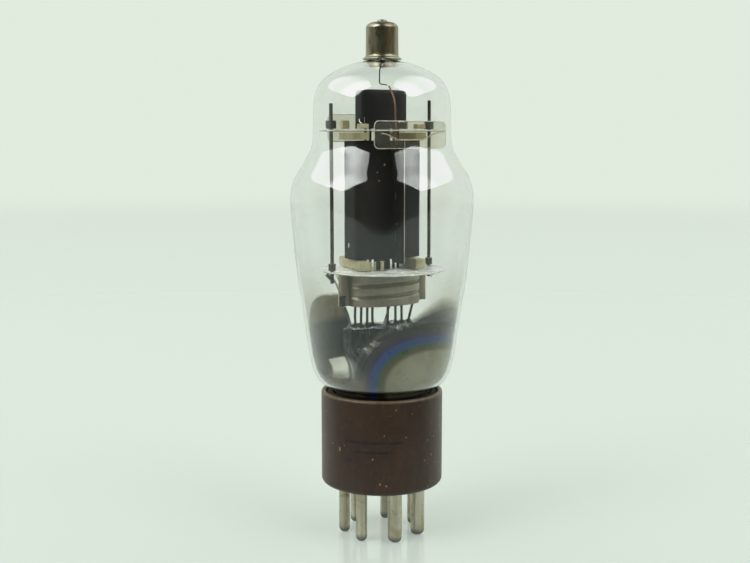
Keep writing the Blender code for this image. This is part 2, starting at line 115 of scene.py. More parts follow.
def mesh_of(name, shape, yaw=0.0):
    """Mesh of (vertices, faces) in millimetres, turned by yaw about the tube's axis."""
    verts, faces = shape
    turn = Matrix.Rotation(yaw, 3, "Z")
    mesh = bpy.data.meshes.new(name)
    mesh.from_pydata([turn @ Vector(v) * MM for v in verts], [], faces)
    return mesh


def make(name, shape, mat, yaw=0.0, slot=None, replaces=None, angle=None):
    """A smooth-shaded piece on the root body; slot is not used."""
    mesh = mesh_of(name, shape, yaw)
    bm = bmesh.new()
    bm.from_mesh(mesh)
    bmesh.ops.recalc_face_normals(bm, faces=bm.faces)
    for face in bm.faces:
        face.smooth = True
    bm.to_mesh(mesh)
    bm.free()
    obj = placed(name, mesh)
    mesh.materials.append(MATS[mat])
    if angle is not None:
        mesh.set_sharp_from_angle(angle=math.radians(angle))
    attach(obj, "root")
    if replaces:
        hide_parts(replaces)
    return obj


def skin(loops, closed=False, caps=True):
    """Vertices and faces of the surface through equal loops of points."""
    n = len(loops[0])
    verts = [p for loop in loops for p in loop]
    faces = []
    for k in range(len(loops) if closed else len(loops) - 1):
        a, b = k * n, (k + 1) % len(loops) * n
        faces += [(a + i, a + (i + 1) % n, b + (i + 1) % n, b + i) for i in range(n)]
    if caps and not closed:
        faces.append(tuple(reversed(range(n))))
        faces.append(tuple(range((len(loops) - 1) * n, len(loops) * n)))
    return verts, faces


def ring(r, z, sides, at=(0.0, 0.0)):
    """Points of a level circle."""
    return [(at[0] + r * math.cos(i * TAU / sides), at[1] + r * math.sin(i * TAU / sides), z)
            for i in range(sides)]


def turned(name, profile, mat, at=(0.0, 0.0), sides=96, closed=False, **kw):
    """Piece turned about an upright axis from (radius, height) points."""
    return make(name, skin([ring(max(r, 0.0), z, sides, at) for r, z in profile], closed), mat, **kw)


def spline(points, steps=4):
    """Catmull-Rom curve through the points."""
    out = []
    last = len(points) - 1
    for i in range(last):
        four = [points[j] for j in (max(i - 1, 0), i, i + 1, min(i + 2, last))]
        for k in range(steps):
            t = k / steps
            out.append(tuple(0.5 * (2 * b + (c - a) * t + (2 * a - 5 * b + 4 * c - d) * t * t
                                    + (3 * b - a - 3 * c + d) * t ** 3) for a, b, c, d in zip(*four)))
    out.append(tuple(points[-1]))
    return out


def arc(centre, r, start, end, steps=6):
    """Points of a circular arc, angles in degrees."""
    angles = [math.radians(start + (end - start) * k / steps) for k in range(steps + 1)]
    return [(centre[0] + r * math.cos(a), centre[1] + r * math.sin(a)) for a in angles]


def relax(path, rounds):
    """Evens out small kinks while both ends stay put."""
    for _ in range(rounds):
        inner = [tuple(0.25 * a + 0.5 * b + 0.25 * c for a, b, c in zip(p, q, r))
                 for p, q, r in zip(path, path[1:], path[2:])]
        path = [path[0]] + inner + [path[-1]]
    return path


def straight_neck(path, drop=0.7, reach=3.6):
    """Keeps the neck straight a little longer, so that it turns out into the shoulder more tightly."""
    neck = min(path, key=lambda p: abs(p[1] - 0.78 * path[0][1]))[0]
    bend = 1.2 + max(z for r, z in path if r > neck + 0.8)
    return [(r, z - drop * math.exp(-((z - bend) / reach) ** 2)) for r, z in path]


def normals(path):
    """Left-hand normal at each point of a 2-D path."""
    out = []
    for a, b in zip(path[:1] + path[:-1], path[1:] + path[-1:]):
        d = Vector((b[0] - a[0], b[1] - a[1])).normalized()
        out.append((-d.y, d.x))
    return out


def inward(profile, wall):
    """Inner outline of a wall that follows an outer one."""
    return [(r - nx * wall, z - ny * wall) for (r, z), (nx, ny) in zip(profile, normals(profile))]


def raised(outline, z):
    """An outline whose heights are counted from z."""
    return [(r, z + h) for r, h in outline]


def tube(name, path, radius, mat, yaw=YAW, sides=12, width=None, taper=None, **kw):
    """Round wire along a smooth path; width makes it a ribbon and taper scales it along its length."""
    pts = [Vector(p) for p in path]
    loops = []
    u = None
    for i, p in enumerate(pts):
        t = (pts[min(i + 1, len(pts) - 1)] - pts[max(i - 1, 0)]).normalized()
        if u is None or width:
            guide = Vector((0.0, 1.0, 0.0)) if abs(t.y) < 0.8 else Vector((1.0, 0.0, 0.0))
            u = guide.cross(t).normalized()
        else:
            u = (u - t * u.dot(t)).normalized()
        v = t.cross(u)
        f = taper(i / (len(pts) - 1)) if taper else 1.0
        a, b = (width / 2 if width else radius) * f, radius * f
        loops.append([p + u * (a * math.cos(TAU * k / sides)) + v * (b * math.sin(TAU * k / sides))
                      for k in range(sides)])
    return make(name, skin(loops), mat, yaw=yaw, **kw)


def block(name, centre, size, mat, yaw=YAW, round_by=0.2, rough=0.0, **kw):
    """Rounded block, its faces divided and slightly uneven; centre is in the axes turned by yaw."""
    bm = bmesh.new()
    bmesh.ops.create_cube(bm, size=1.0)
    bmesh.ops.scale(bm, vec=size, verts=bm.verts)
    bmesh.ops.bevel(bm, geom=list(bm.edges), offset=round_by, segments=2, affect="EDGES", profile=0.6)
    long_edges = [e for e in bm.edges if e.calc_length() > 1.0]
    bmesh.ops.subdivide_edges(bm, edges=long_edges, cuts=3, use_grid_fill=True)
    centre = Vector(centre)
    bm.verts.index_update()
    verts = [centre + v.co + noise.noise_vector(v.co * 0.9 + centre) * rough for v in bm.verts]
    faces = [[v.index for v in f.verts] for f in bm.faces]
    bm.free()
    return make(name, (verts, faces), mat, yaw=yaw, angle=45, **kw)


def fillet(path, radius, steps=4):
    """Rounds the corners of a 2-D path."""
    out = [path[0]]
    for a, b, c in zip(path, path[1:], path[2:]):
        A, B, C = Vector(a), Vector(b), Vector(c)
        r = min(radius, (A - B).length * 0.45, (C - B).length * 0.45)
        p, q = B + (A - B).normalized() * r, B + (C - B).normalized() * r
        for k in range(steps + 1):
            t = k / steps
            out.append(tuple(p.lerp(B, t).lerp(B.lerp(q, t), t)))
    out.append(path[-1])
    return out


def resample(path, step):
    """Adds points so that no stretch of a 2-D path is longer than the step."""
    out = [path[0]]
    for a, b in zip(path, path[1:]):
        n = max(1, int((Vector(b) - Vector(a)).length / step))
        out += [tuple(Vector(a).lerp(Vector(b), (k + 1) / n)) for k in range(n)]
    return out


def folded_sheet(name, path, t, heights, mat, push, flip=1.0, **kw):
    """Sheet of thickness t folded along a 2-D path; push(x, y, z) dents it along its own normal."""
    loops = []
    for z in heights:
        near, far = [], []
        for (x, y), (nx, ny) in zip(path, normals(path)):
            p = push(x, y, z)
            near.append((x + nx * p, flip * (y + ny * p), z))
            far.append((x + nx * (p + t), flip * (y + ny * (p + t)), z))
        loops.append(near + far[::-1])
    return make(name, skin(loops), mat, yaw=YAW, **kw)


def steps_between(low, high, count):
    """Evenly spaced values from low to high, both included."""
    return [low + (high - low) * k / count for k in range(count + 1)]


def smoothstep(a, b, x):
    """0 up to a, 1 from b on and a soft step between."""
    t = max(0.0, min(1.0, (x - a) / (b - a)))
    return t * t * (3 - 2 * t)


# ---------------------------------------------------------------- node helpers
class Nodes:
    """Small builder for procedural materials; a value may be a number, a colour or another node's output."""

    def __init__(self, name, world=False):
        self.mat = (bpy.data.worlds if world else bpy.data.materials).new(name)
        self.mat.use_nodes = True
        self.t = self.mat.node_tree
        self.t.nodes.clear()
        self.out = self.t.nodes.new("ShaderNodeOutputWorld" if world else "ShaderNodeOutputMaterial")
        self.coord = self.t.nodes.new("ShaderNodeTexCoord").outputs["Generated" if world else "Object"]

    def new(self, kind, **values):
        n = self.t.nodes.new(kind)
        for k, v in values.items():
            setattr(n, k, v)
        return n

    def put(self, value, socket):
        if isinstance(value, bpy.types.NodeSocket):
            self.t.links.new(value, socket)
        elif isinstance(value, (tuple, list)) and len(value) == 3 and socket.type == "RGBA":
            socket.default_value = (*value, 1.0)
        else:
            socket.default_value = value

    def wired(self, kind, inputs, output=0, **values):
        """Output of a new node, its inputs set or linked by number or by name."""
        n = self.new(kind, **values)
        for key, value in inputs.items():
            self.put(value, n.inputs[key])
        return n.outputs[output]

    def math(self, op, a, b=0.0):
        return self.wired("ShaderNodeMath", {0: a, 1: b}, operation=op)

    def times(self, a, b):
        return self.math("MULTIPLY", a, b)

    def plus(self, a, b):
        return self.math("ADD", a, b)

    def most(self, a, b):
        return self.math("MAXIMUM", a, b)

    def noise(self, scale, detail=4.0, rough=0.55, distort=0.0, stretch=None):
        """Cloudy pattern; stretch below 1 draws it out along the tube's axis."""
        at = self.coord
        if stretch:
            at = self.wired("ShaderNodeMapping", {"Vector": at, "Scale": Vector((1.0, 1.0, stretch))})
        inputs = {"Vector": at, "Scale": scale, "Detail": detail, "Roughness": rough, "Distortion": distort}
        return self.wired("ShaderNodeTexNoise", inputs, "Fac")

    def ramp(self, fac, stops):
        n = self.new("ShaderNodeValToRGB")
        elements = n.color_ramp.elements
        while len(elements) < len(stops):
            elements.new(0.5)
        for item, (place, colour) in zip(elements, stops):
            item.position = place
            item.color = (*colour, 1.0)
        self.put(fac, n.inputs[0])
        return n.outputs[0]

    def range(self, value, a, b, c=0.0, d=1.0, kind="LINEAR"):
        """Maps a..b on to c..d."""
        return self.wired("ShaderNodeMapRange", dict(enumerate((value, a, b, c, d))), interpolation_type=kind)

    def ease(self, *values):
        """A range with soft ends."""
        return self.range(*values, kind="SMOOTHSTEP")

    def blend(self, fac, a, b):
        return self.wired("ShaderNodeMix", {0: fac, 6: a, 7: b}, 2, data_type="RGBA")

    def xyz(self):
        n = self.new("ShaderNodeSeparateXYZ")
        self.put(self.coord, n.inputs[0])
        return n.outputs

    def bump(self, height, strength, distance):
        return self.wired("ShaderNodeBump", {"Height": height, "Strength": strength, "Distance": distance})

    def edges(self, low, high):
        """Worn convex edges from the surface's own pointiness."""
        return self.ease(self.new("ShaderNodeNewGeometry").outputs["Pointiness"], low, high)

    def shader(self, **inputs):
        return self.wired("ShaderNodeBsdfPrincipled", {k.replace("_", " "): v for k, v in inputs.items()})

    def finish(self, surface):
        self.t.links.new(surface, self.out.inputs["Surface"])
        return self.mat

    def painted(self, colour, rough, normal, **more):
        """An opaque material of one shader."""
        return self.finish(self.shader(Base_Color=colour, Roughness=rough, Normal=normal, **more))

    def mix_shader(self, fac, a, b):
        return self.wired("ShaderNodeMixShader", {0: fac, 1: a, 2: b})

    def direct(self):
        """1 for a ray that has met nothing but glass it went straight through."""
        path = self.new("ShaderNodeLightPath").outputs
        return self.math("LESS_THAN", self.plus(path["Glossy Depth"], path["Diffuse Depth"]), 0.5)

    def glow(self, colour, strength):
        return self.wired("ShaderNodeEmission", {0: colour, 1: strength})

    def clear(self, colour=(1.0, 1.0, 1.0)):
        return self.wired("ShaderNodeBsdfTransparent", {0: colour})


def shaded(colour, share):
    """A colour made darker or lighter."""
    return tuple(c * share for c in colour)


def glass_material(name, tint, ripple, rough, ior=1.5, rim=1.0, coat=0.0, waves=0.06):
    """Clear blown glass with faint smears and ripples, darker towards its outline by painted shade, letting
    lamps through.
    """
    m = Nodes(name)
    smear = m.noise(55, 5, 0.6, 0.4, stretch=0.35)
    colour = m.blend(smear, tint, shaded(tint, 0.985))
    slant = m.new("ShaderNodeLayerWeight").outputs["Facing"]
    # painted shade: the tint darkens by rim where the surface slants away from the view, towards the outline
    colour = m.blend(m.ease(slant, 0.15, 0.55), colour, shaded(tint, rim))
    normal = m.bump(m.noise(ripple, 2, 0.5), waves, 0.0006)
    body = m.shader(Base_Color=colour, Roughness=rough, IOR=ior, Transmission_Weight=1.0, Normal=normal,
                    Coat_Weight=coat, Coat_Roughness=0.04)
    lamp = m.new("ShaderNodeLightPath").outputs["Is Shadow Ray"]
    return m.finish(m.mix_shader(lamp, body, m.clear((0.96, 0.97, 0.96))))


def metal_material(name, dark, light, rough, grain, stain=None, edge=None):
    """Metal with a drawn grain, uneven roughness, stains and brighter edges."""
    m = Nodes(name)
    drawn = m.noise(300, 6, 0.65, 0.2, stretch=grain)
    patch = m.noise(120, 4, 0.6, 0.8)
    colour = m.ramp(drawn, [(0.25, dark), (0.75, light)])
    if stain:
        colour = m.blend(m.ease(patch, 0.55, 0.75, 0.0, 0.85), colour, stain)
    if edge:
        colour = m.blend(m.edges(0.52, 0.62), colour, edge)
    uneven = m.plus(m.times(drawn, 0.5), m.times(patch, 0.5))
    normal = m.bump(drawn, 0.15, 0.00006)
    return m.painted(colour, m.range(uneven, 0.3, 0.7, *rough), normal, Metallic=1.0)


def carbon_material():
    """Carbon-blackened nickel: nearly black, faintly brown in patches, with grey grains."""
    m = Nodes("carbonised_nickel")
    fine = m.noise(1400, 3, 0.6)
    patch = m.noise(170, 4, 0.6, 0.6, stretch=0.6)
    colour = m.ramp(patch, [(0.35, (0.0025, 0.0032, 0.003)), (0.55, (0.004, 0.004, 0.0032)),
                            (0.72, (0.011, 0.0065, 0.0045))])
    colour = m.blend(m.range(fine, 0.6, 0.8, 0.0, 0.3), colour, (0.02, 0.021, 0.019))
    colour = m.blend(m.range(m.noise(620, 1, 0.4), 0.77, 0.81), colour, (0.3, 0.3, 0.27))
    rough = m.range(patch, 0.3, 0.7, 0.42, 0.6)
    normal = m.bump(m.plus(fine, m.times(patch, 2.0)), 0.2, 0.00005)
    return m.painted(colour, rough, normal, Specular_IOR_Level=0.3)


def mica_material(name, tint, body, haze):
    """Sheet mica: mostly clear, with cleavage veils and fine dark flecks."""
    m = Nodes(name)
    veil = m.noise(150, 5, 0.65, 1.2)
    fleck = m.noise(1300, 2, 0.5)
    colour = m.ramp(veil, [(0.3, haze), (0.7, shaded(haze, 1.25))])
    colour = m.blend(m.range(fleck, 0.6, 0.75, 0.0, 0.5), colour, (0.3, 0.24, 0.15))
    rough = m.range(veil, 0.3, 0.7, 0.1, 0.3)
    normal = m.bump(veil, 0.2, 0.0001)
    solid = m.shader(Base_Color=colour, Roughness=rough, Specular_IOR_Level=0.6, Normal=normal)
    return m.finish(m.mix_shader(m.range(veil, 0.3, 0.75, body * 0.7, body * 1.3), m.clear(tint), solid))


def mica_edge_material():
    """Split sheet edges, where the mica turns milky."""
    m = Nodes("mica_edge")
    veil = m.noise(300, 4, 0.6)
    colour = m.ramp(veil, [(0.3, (0.55, 0.54, 0.49)), (0.7, (0.85, 0.84, 0.78))])
    solid = m.shader(Base_Color=colour, Roughness=m.range(veil, 0.3, 0.7, 0.2, 0.4), Specular_IOR_Level=0.7)
    return m.finish(m.mix_shader(m.range(veil, 0.3, 0.7, 0.65, 0.95), m.clear(), solid))


def steatite_material():
    """Unglazed pale ceramic with darker pores and stained patches."""
    m = Nodes("steatite")
    grain = m.noise(700, 4, 0.6)
    patch = m.noise(160, 4, 0.6, 0.5)
    colour = m.ramp(patch, [(0.3, (0.33, 0.30, 0.175)), (0.55, (0.44, 0.405, 0.255)),
                            (0.8, (0.55, 0.52, 0.36))])
    colour = m.blend(m.range(grain, 0.62, 0.8, 0.0, 0.6), colour, (0.2, 0.15, 0.09))
    normal = m.bump(grain, 0.35, 0.00008)
    return m.painted(colour, m.range(grain, 0.3, 0.7, 0.6, 0.85), normal)


# plain rules and a tick on the base: where each starts and ends, in radians round the front and as shares of
# the base's height
INK_RULES = ((-0.62, 0.32, 0.548, 0.580), (-0.46, 0.18, 0.452, 0.476), (-0.62, -0.50, 0.337, 0.385))


def ink_rules(m, angle, z, base_low, base_high):
    """Share of faded ink: two plain rules and one tick across the front, and no lettering."""
    height = base_high - base_low
    ink = 0.0
    for start, end, low, high in INK_RULES:
        inside = 1.0
        lowest, highest = (base_low + low * height) * MM, (base_low + high * height) * MM
        for v, lo, hi, soft in ((angle, start, end, 0.006), (z, lowest, highest, 0.00009)):
            inside = m.times(inside, m.range(v, lo - soft, lo + soft))
            inside = m.times(inside, m.range(v, hi - soft, hi + soft, 1.0, 0.0))
        ink = m.most(ink, inside)
    return ink


def phenolic_material():
    """Brown moulded phenolic with flow marks, filler specks, a rubbed rim and worn ink rules."""
    m = Nodes("brown_phenolic")
    low, high, _ = span("base_shell")
    flow = m.noise(70, 6, 0.65, 1.5, stretch=0.6)
    fibre = m.noise(520, 5, 0.7, 0.6, stretch=0.55)
    colour = m.ramp(flow, [(0.3, (0.021, 0.0098, 0.0055)), (0.55, (0.029, 0.0132, 0.007)),
                           (0.75, (0.040, 0.019, 0.0095))])
    colour = m.blend(m.range(fibre, 0.5, 0.72, 0.0, 0.5), colour, (0.065, 0.033, 0.017))
    colour = m.blend(m.range(m.noise(900, 0, 0.3), 0.83, 0.85), colour, (0.2, 0.12, 0.06))
    x, y, z = m.xyz()
    angle = m.math("ARCTAN2", x, m.times(y, -1.0))
    wear = m.range(m.noise(420, 3, 0.6), 0.34, 0.52, 0.3, 0.95)
    ink = m.times(ink_rules(m, angle, z, low.z, high.z), wear)
    colour = m.blend(ink, colour, (0.0045, 0.0065, 0.006))
    top = m.ease(z, (high.z - 1.0) * MM, (high.z - 0.2) * MM)
    colour = m.blend(m.times(top, m.range(fibre, 0.3, 0.6, 0.4, 1.0)), colour, (0.15, 0.105, 0.06))
    normal = m.bump(m.plus(fibre, m.times(flow, 3.0)), 0.12, 0.00008)
    return m.painted(colour, m.range(flow, 0.3, 0.7, 0.32, 0.44), normal, Specular_IOR_Level=0.38)


def pin_material():
    """Tinned brass, brassy where the tin is rubbed, with grey rounded solder at the tip."""
    m = Nodes("tinned_pin")
    z = m.xyz()[2]
    drawn = m.noise(260, 6, 0.65, 0.2, stretch=0.12)
    patch = m.noise(210, 4, 0.6, 0.8)
    colour = m.ramp(drawn, [(0.3, (0.36, 0.33, 0.25)), (0.55, (0.50, 0.47, 0.37)),
                            (0.75, (0.70, 0.67, 0.56))])
    colour = m.blend(m.ease(patch, 0.5, 0.72, 0.0, 0.8), colour, (0.31, 0.25, 0.145))
    tip = m.ease(m.plus(z, m.times(patch, 0.0016)), 0.0018, 0.0034, 1.0, 0.0)
    colour = m.blend(tip, colour, (0.17, 0.175, 0.165))
    rough = m.plus(m.range(patch, 0.3, 0.7, 0.24, 0.45), m.times(tip, 0.12))
    normal = m.bump(m.plus(drawn, patch), 0.2, 0.00008)
    return m.painted(colour, rough, normal, Metallic=1.0)


def cap_material():
    """Nickel-plated cap, tarnished olive-brown, with soft vertical stains and rubbed edges."""
    m = Nodes("tarnished_cap")
    drawn = m.noise(300, 5, 0.65, 0.2, stretch=0.15)
    patch = m.noise(230, 4, 0.6, 0.8, stretch=0.35)
    colour = m.ramp(drawn, [(0.3, (0.18, 0.165, 0.11)), (0.7, (0.34, 0.32, 0.23))])
    colour = m.blend(m.ease(patch, 0.46, 0.66, 0.0, 0.85), colour, (0.13, 0.085, 0.04))
    colour = m.blend(m.edges(0.51, 0.58), colour, (0.45, 0.43, 0.32))
    rough = m.range(patch, 0.3, 0.7, 0.26, 0.42)
    normal = m.bump(m.plus(drawn, patch), 0.12, 0.00006)
    return m.painted(colour, rough, normal, Metallic=1.0)


def powder_material(name, dark, light, scale, bump):
    """Matt, grainy coating or cement."""
    m = Nodes(name)
    grain = m.noise(scale, 5, 0.65)
    colour = m.ramp(grain, [(0.3, dark), (0.7, light)])
    normal = m.bump(grain, bump, 0.0001)
    return m.painted(colour, m.range(grain, 0.3, 0.7, 0.75, 0.95), normal)


def film_material():
    """Getter deposit: part mirror, part smoke; its tone and cover are laid down point by point."""
    m = Nodes("getter_deposit")
    cover = m.new("ShaderNodeAttribute", attribute_name="cover").outputs["Fac"]
    tone = m.new("ShaderNodeAttribute", attribute_name="tone").outputs["Color"]
    swirl = m.noise(170, 4, 0.6, 1.6)
    fine = m.noise(520, 3, 0.6, 0.8)
    colour = m.blend(m.range(swirl, 0.3, 0.75, 0.0, 0.35), tone, (0.01, 0.012, 0.014))
    colour = m.blend(m.range(fine, 0.62, 0.8, 0.0, 0.12), colour, (0.25, 0.23, 0.18))
    normal = m.bump(m.plus(swirl, m.times(fine, 0.3)), 0.25, 0.0004)
    mirror = m.shader(Base_Color=colour, Roughness=m.range(fine, 0.3, 0.7, 0.25, 0.45), Metallic=0.25,
                      Specular_IOR_Level=0.25, Normal=normal)
    smoke = m.ramp(cover, [(0.0, (1.0, 1.0, 1.0)), (0.5, (0.8, 0.76, 0.66)), (1.0, (0.4, 0.38, 0.33))])
    return m.finish(m.mix_shader(cover, m.clear(smoke), mirror))


MATS = {
    # rim=0.90 sets the painted shade towards the bulb's outline
    "bulb": glass_material("bulb_glass", (0.985, 0.99, 0.985), 34, 0.0, rim=0.90),
    # the stem glass's dark blue-grey tint is partly the glass's own colour and partly painted shade of the
    # press
    "stem": glass_material("stem_glass", (0.36, 0.44, 0.46), 420, 0.03, ior=1.3, coat=1.0, waves=0.3),
    "base": phenolic_material(),
    "pin": pin_material(),
    "cap": cap_material(),
    "carbon": carbon_material(),
    "film": film_material(),
    "steatite": steatite_material(),
    "mica": mica_material("clear_mica", (0.86, 0.84, 0.78), 0.035, (0.5, 0.48, 0.43)),
    "disc": mica_material("coated_disc", (0.6, 0.6, 0.58), 0.85, (0.52, 0.52, 0.49)),
    "mica_edge": mica_edge_material(),
    "nickel": metal_material("rolled_nickel", (0.24, 0.24, 0.215), (0.4, 0.4, 0.365), (0.28, 0.5), 0.3,
                             stain=(0.2, 0.17, 0.11), edge=(0.6, 0.58, 0.5)),
    "shield": metal_material("pressed_nickel", (0.30, 0.27, 0.20), (0.46, 0.42, 0.33), (0.3, 0.46), 0.3,
                             stain=(0.26, 0.19, 0.11), edge=(0.7, 0.56, 0.38)),
    "rod": metal_material("oxidised_rod", (0.075, 0.07, 0.05), (0.17, 0.16, 0.12), (0.3, 0.5), 0.1,
                          stain=(0.08, 0.075, 0.06)),
    "ferrule": metal_material("dark_ferrule", (0.035, 0.04, 0.038), (0.085, 0.09, 0.085), (0.35, 0.6), 0.2),
    "lead": metal_material("stem_lead_metal", (0.06, 0.072, 0.076), (0.13, 0.145, 0.15), (0.3, 0.5), 0.2,
                           stain=(0.16, 0.085, 0.045)),
    "copper": metal_material("copper_ribbon", (0.13, 0.065, 0.05), (0.22, 0.12, 0.095), (0.3, 0.5), 0.2),
    "bright": metal_material("bright_metal", (0.6, 0.6, 0.56), (0.85, 0.85, 0.8), (0.15, 0.3), 0.3),
    "grid": metal_material("grid_wire", (0.3, 0.27, 0.2), (0.5, 0.47, 0.38), (0.3, 0.45), 0.3),
    "solder": metal_material("solder", (0.3, 0.3, 0.29), (0.5, 0.5, 0.48), (0.25, 0.45), 1.0,
                             stain=(0.2, 0.19, 0.15)),
    "cement": powder_material("baked_cement", (0.012, 0.009, 0.007), (0.035, 0.026, 0.018), 500, 0.4),
    "alumina": powder_material("alumina_coating", (0.65, 0.65, 0.62), (0.85, 0.85, 0.82), 1200, 0.5),
}


# ---------------------------------------------------------------- glass
GLASS_WALL = 0.85
SEAL_HOLE = 0.65
NECK_INSIDE_TOP = 133.75
OUTER = straight_neck(relax(spline(skyline("glass_bulb"), 4), 1))
INNER = [p for p in inward(OUTER, GLASS_WALL) if p[1] < NECK_INSIDE_TOP - 0.4]


def inner_radius(z):
    """Radius of the inside of the bulb at a height."""
    for (r0, z0), (r1, z1) in zip(INNER, INNER[1:]):
        if z1 <= z <= z0 and z0 > z1:
            return r0 + (r1 - r0) * (z0 - z) / (z0 - z1)
    return INNER[-1][0]


def build_bulb():
    """Blown envelope, drawn in round the anode wire at the top."""
    top = OUTER[0][1]
    tip = [(SEAL_HOLE, top), (SEAL_HOLE + 0.55, top + 0.15)]
    under = [(3.2, NECK_INSIDE_TOP), (SEAL_HOLE, NECK_INSIDE_TOP)]
    turned("bulb_glass", tip + OUTER + INNER[::-1] + under, "bulb", sides=160, closed=True,
           replaces="glass_bulb")


# The deposit's tones, among them painted shade, painted light and a painted reflection, and the order they
# come in across the thin patch at the front, 1 being the blue band.
TONES = {
    "haze": (0.25, 0.235, 0.145), "gold": (0.065, 0.047, 0.004), "green": (0.012, 0.062, 0.022),
    "blue": (0.002, 0.036, 0.17), "violet": (0.018, 0.010, 0.06), "umber": (0.02, 0.016, 0.017),
    # slate: dark tone of the mirror deposit, standing in for the dark room it reflects, a painted reflection
    "slate": (0.03, 0.046, 0.048), "smoke": (0.34, 0.30, 0.19), "dust": (0.11, 0.085, 0.048),
    # edge: paler tone, partly where the deposit is thin and partly painted light at the bulb's outline
    "edge": (0.26, 0.27, 0.23), "gap_shade": (0.012, 0.010, 0.008),
}
TONES = {name: Vector(tone) for name, tone in TONES.items()}
BANDS = [(0.0, "haze"), (0.74, "haze"), (0.84, "gold"), (0.92, "green"), (0.985, "blue"), (1.05, "blue"),
         (1.11, "violet"), (1.2, "umber"), (1.5, "slate")]
FILM_GAP = 0.07
STEM_TOP = span("glass_stem")[1].z
BASE_TOP = span("base_shell")[1].z
# the thin patch, x to the right in front, and the bare spot, x to the left at the back, both low on the bulb
PATCH = {"x": 12.6, "z": BASE_TOP + 3.0, "half_width": 14.9, "half_height": 13.9}
WINDOW = {"x": 12.4, "z": BASE_TOP + 3.5, "half_width": 2.4, "half_height": 3.0}


def band_tone(d):
    """Interference colour at a distance from the middle of the thin patch."""
    for (d0, a), (d1, b) in zip(BANDS, BANDS[1:]):
        if d <= d1:
            return TONES[a].lerp(TONES[b], smoothstep(d0, d1, d))
    return TONES["slate"]


def deposit(x, y, z):
    """Cover and tone of the getter deposit at a point on the inside of the bulb; the tone also carries
    painted shade, painted light and a painted reflection.
    """
    turn = math.degrees(math.atan2(x, y))
    at = Vector((x, y, z))
    wave = 0.7 * noise.noise(at * 0.12) + 0.25 * noise.noise(at * 0.6)
    left = 1.0 - smoothstep(-36.0, -26.0, turn)
    right = smoothstep(18.0, 60.0, turn)
    rear = smoothstep(-9.0, -1.0, y)
    # at the back the deposit climbs on both sides of the stem
    top = STEM_TOP - 3.3 + wave + 9.6 * left + 7.5 * right - 8.0 * smoothstep(58.0, 105.0, -turn)
    soft = 0.9 + 3.6 * right
    back = (1.0 - smoothstep(top - soft, top + soft, z)) * rear * 0.98
    low = 0.97 * (1.0 - smoothstep(BASE_TOP + 4.5, BASE_TOP + 9.5 + wave, z))
    # the patch in front is thinner in its middle, which gives rings of interference colour
    across = abs(x - PATCH["x"]) / PATCH["half_width"]
    up = abs(z - PATCH["z"]) / PATCH["half_height"]
    d = (across ** 2.3 + up ** 2.3) ** (1 / 2.3) + 0.025 * wave
    patch = (1.0 - smoothstep(1.20, 1.46 + 0.03 * wave, d)) * 0.985 * (1.0 - rear)
    # a breath of deposit reaches higher up on both sides
    flank = smoothstep(0.5, 0.95, abs(x) / math.hypot(x, y))
    veil = 0.2 * flank * (1.0 - smoothstep(BASE_TOP + 18.0, BASE_TOP + 42.0, z))
    # the first term is painted light, a paler tone towards the bulb's left and right outline; the second is
    # where the deposit is thin
    thin_film_and_outline_light = max(0.3 * smoothstep(0.88, 1.0, abs(x) / 22.5), smoothstep(0.4, 0.1, back + low + patch))
    layers = (
        ("umber", 0.5 * smoothstep(9.0, 19.0, x) * smoothstep(0.8, 1.1, d)),
        # painted reflection: the rear deposit is real, but its dark slate tone stands in for the mirror film
        # reflecting the dark room
        ("slate", smoothstep(-9.0, 0.0, y)),
        ("smoke", smoothstep(STEM_TOP - 2.3, STEM_TOP + 0.6, z) * left * rear),
        ("umber", 0.6 * right * rear),
        ("dust", 0.85 * low * smoothstep(1.05, 1.25, d)),
        # painted shade: near-black tone where the bulb goes down into the base rim
        ("gap_shade", smoothstep(BASE_TOP + 0.9, BASE_TOP - 0.3, z)),
        ("edge", thin_film_and_outline_light),
    )
    tone = band_tone(d)
    for name, share in layers:
        tone = tone.lerp(TONES[name], share)
    cover = max(back, low, patch, veil)
    if y > 0:
        cover *= 0.3 + 0.7 * outside_window(x, z)
    return max(0.0, min(1.0, cover)), tone


def outside_window(x, z):
    """0 inside the slanting bare spot at the back, 1 outside it."""
    up = z - WINDOW["z"]
    lean = x + WINDOW["x"] + 0.25 * up + 0.06 * up ** 2
    return smoothstep(0.88, 1.1, max(abs(lean) / WINDOW["half_width"], abs(up) / WINDOW["half_height"]))


def build_film():
    """Deposit on the inside of the lower bulb."""
    loops, covers, tones = [], [], []
    for z in steps_between(BASE_TOP - 1.1, BASE_TOP + 43.0, 130):
        loop = ring(inner_radius(z) - FILM_GAP, z, 300)
        loops.append(loop)
        for point in loop:
            cover, tone = deposit(*point)
            covers.append(cover)
            tones += [*tone, 1.0]
    film = make("getter_film", skin(loops, caps=False), "film")
    film.data.attributes.new("cover", "FLOAT", "POINT").data.foreach_set("value", covers)
    film.data.attributes.new("tone", "FLOAT_COLOR", "POINT").data.foreach_set("color", tones)


LEAD_NAMES = ["stem_lead_%d" % (k + 1) for k in range(9)]
LEAD_R = 0.36
LEAD_AT = [middle(name, STEM_TOP - 7, STEM_TOP).x for name in LEAD_NAMES]
# half width, half depth and height of the stem's outline, from the flare up to the press
STEM_OUTLINE = [
    (12.75, 12.75, -29.6), (11.9, 11.9, -27.3), (10.3, 10.3, -23.7), (9.0, 9.0, -19.4), (8.5, 8.5, -14.4),
    (10.3, 6.3, -10.1), (12.1, 3.9, -6.9), (12.7, 2.8, -4.3), (12.75, 2.6, -1.5), (12.6, 2.45, -0.4),
    (12.0, 1.9, 0.15), (10.8, 0.9, 0.4),
]
STEM_HOLLOW_TOP = [(9.45, 5.4, -10.1), (11.1, 2.5, -7.3), (10.6, 0.8, -6.6)]


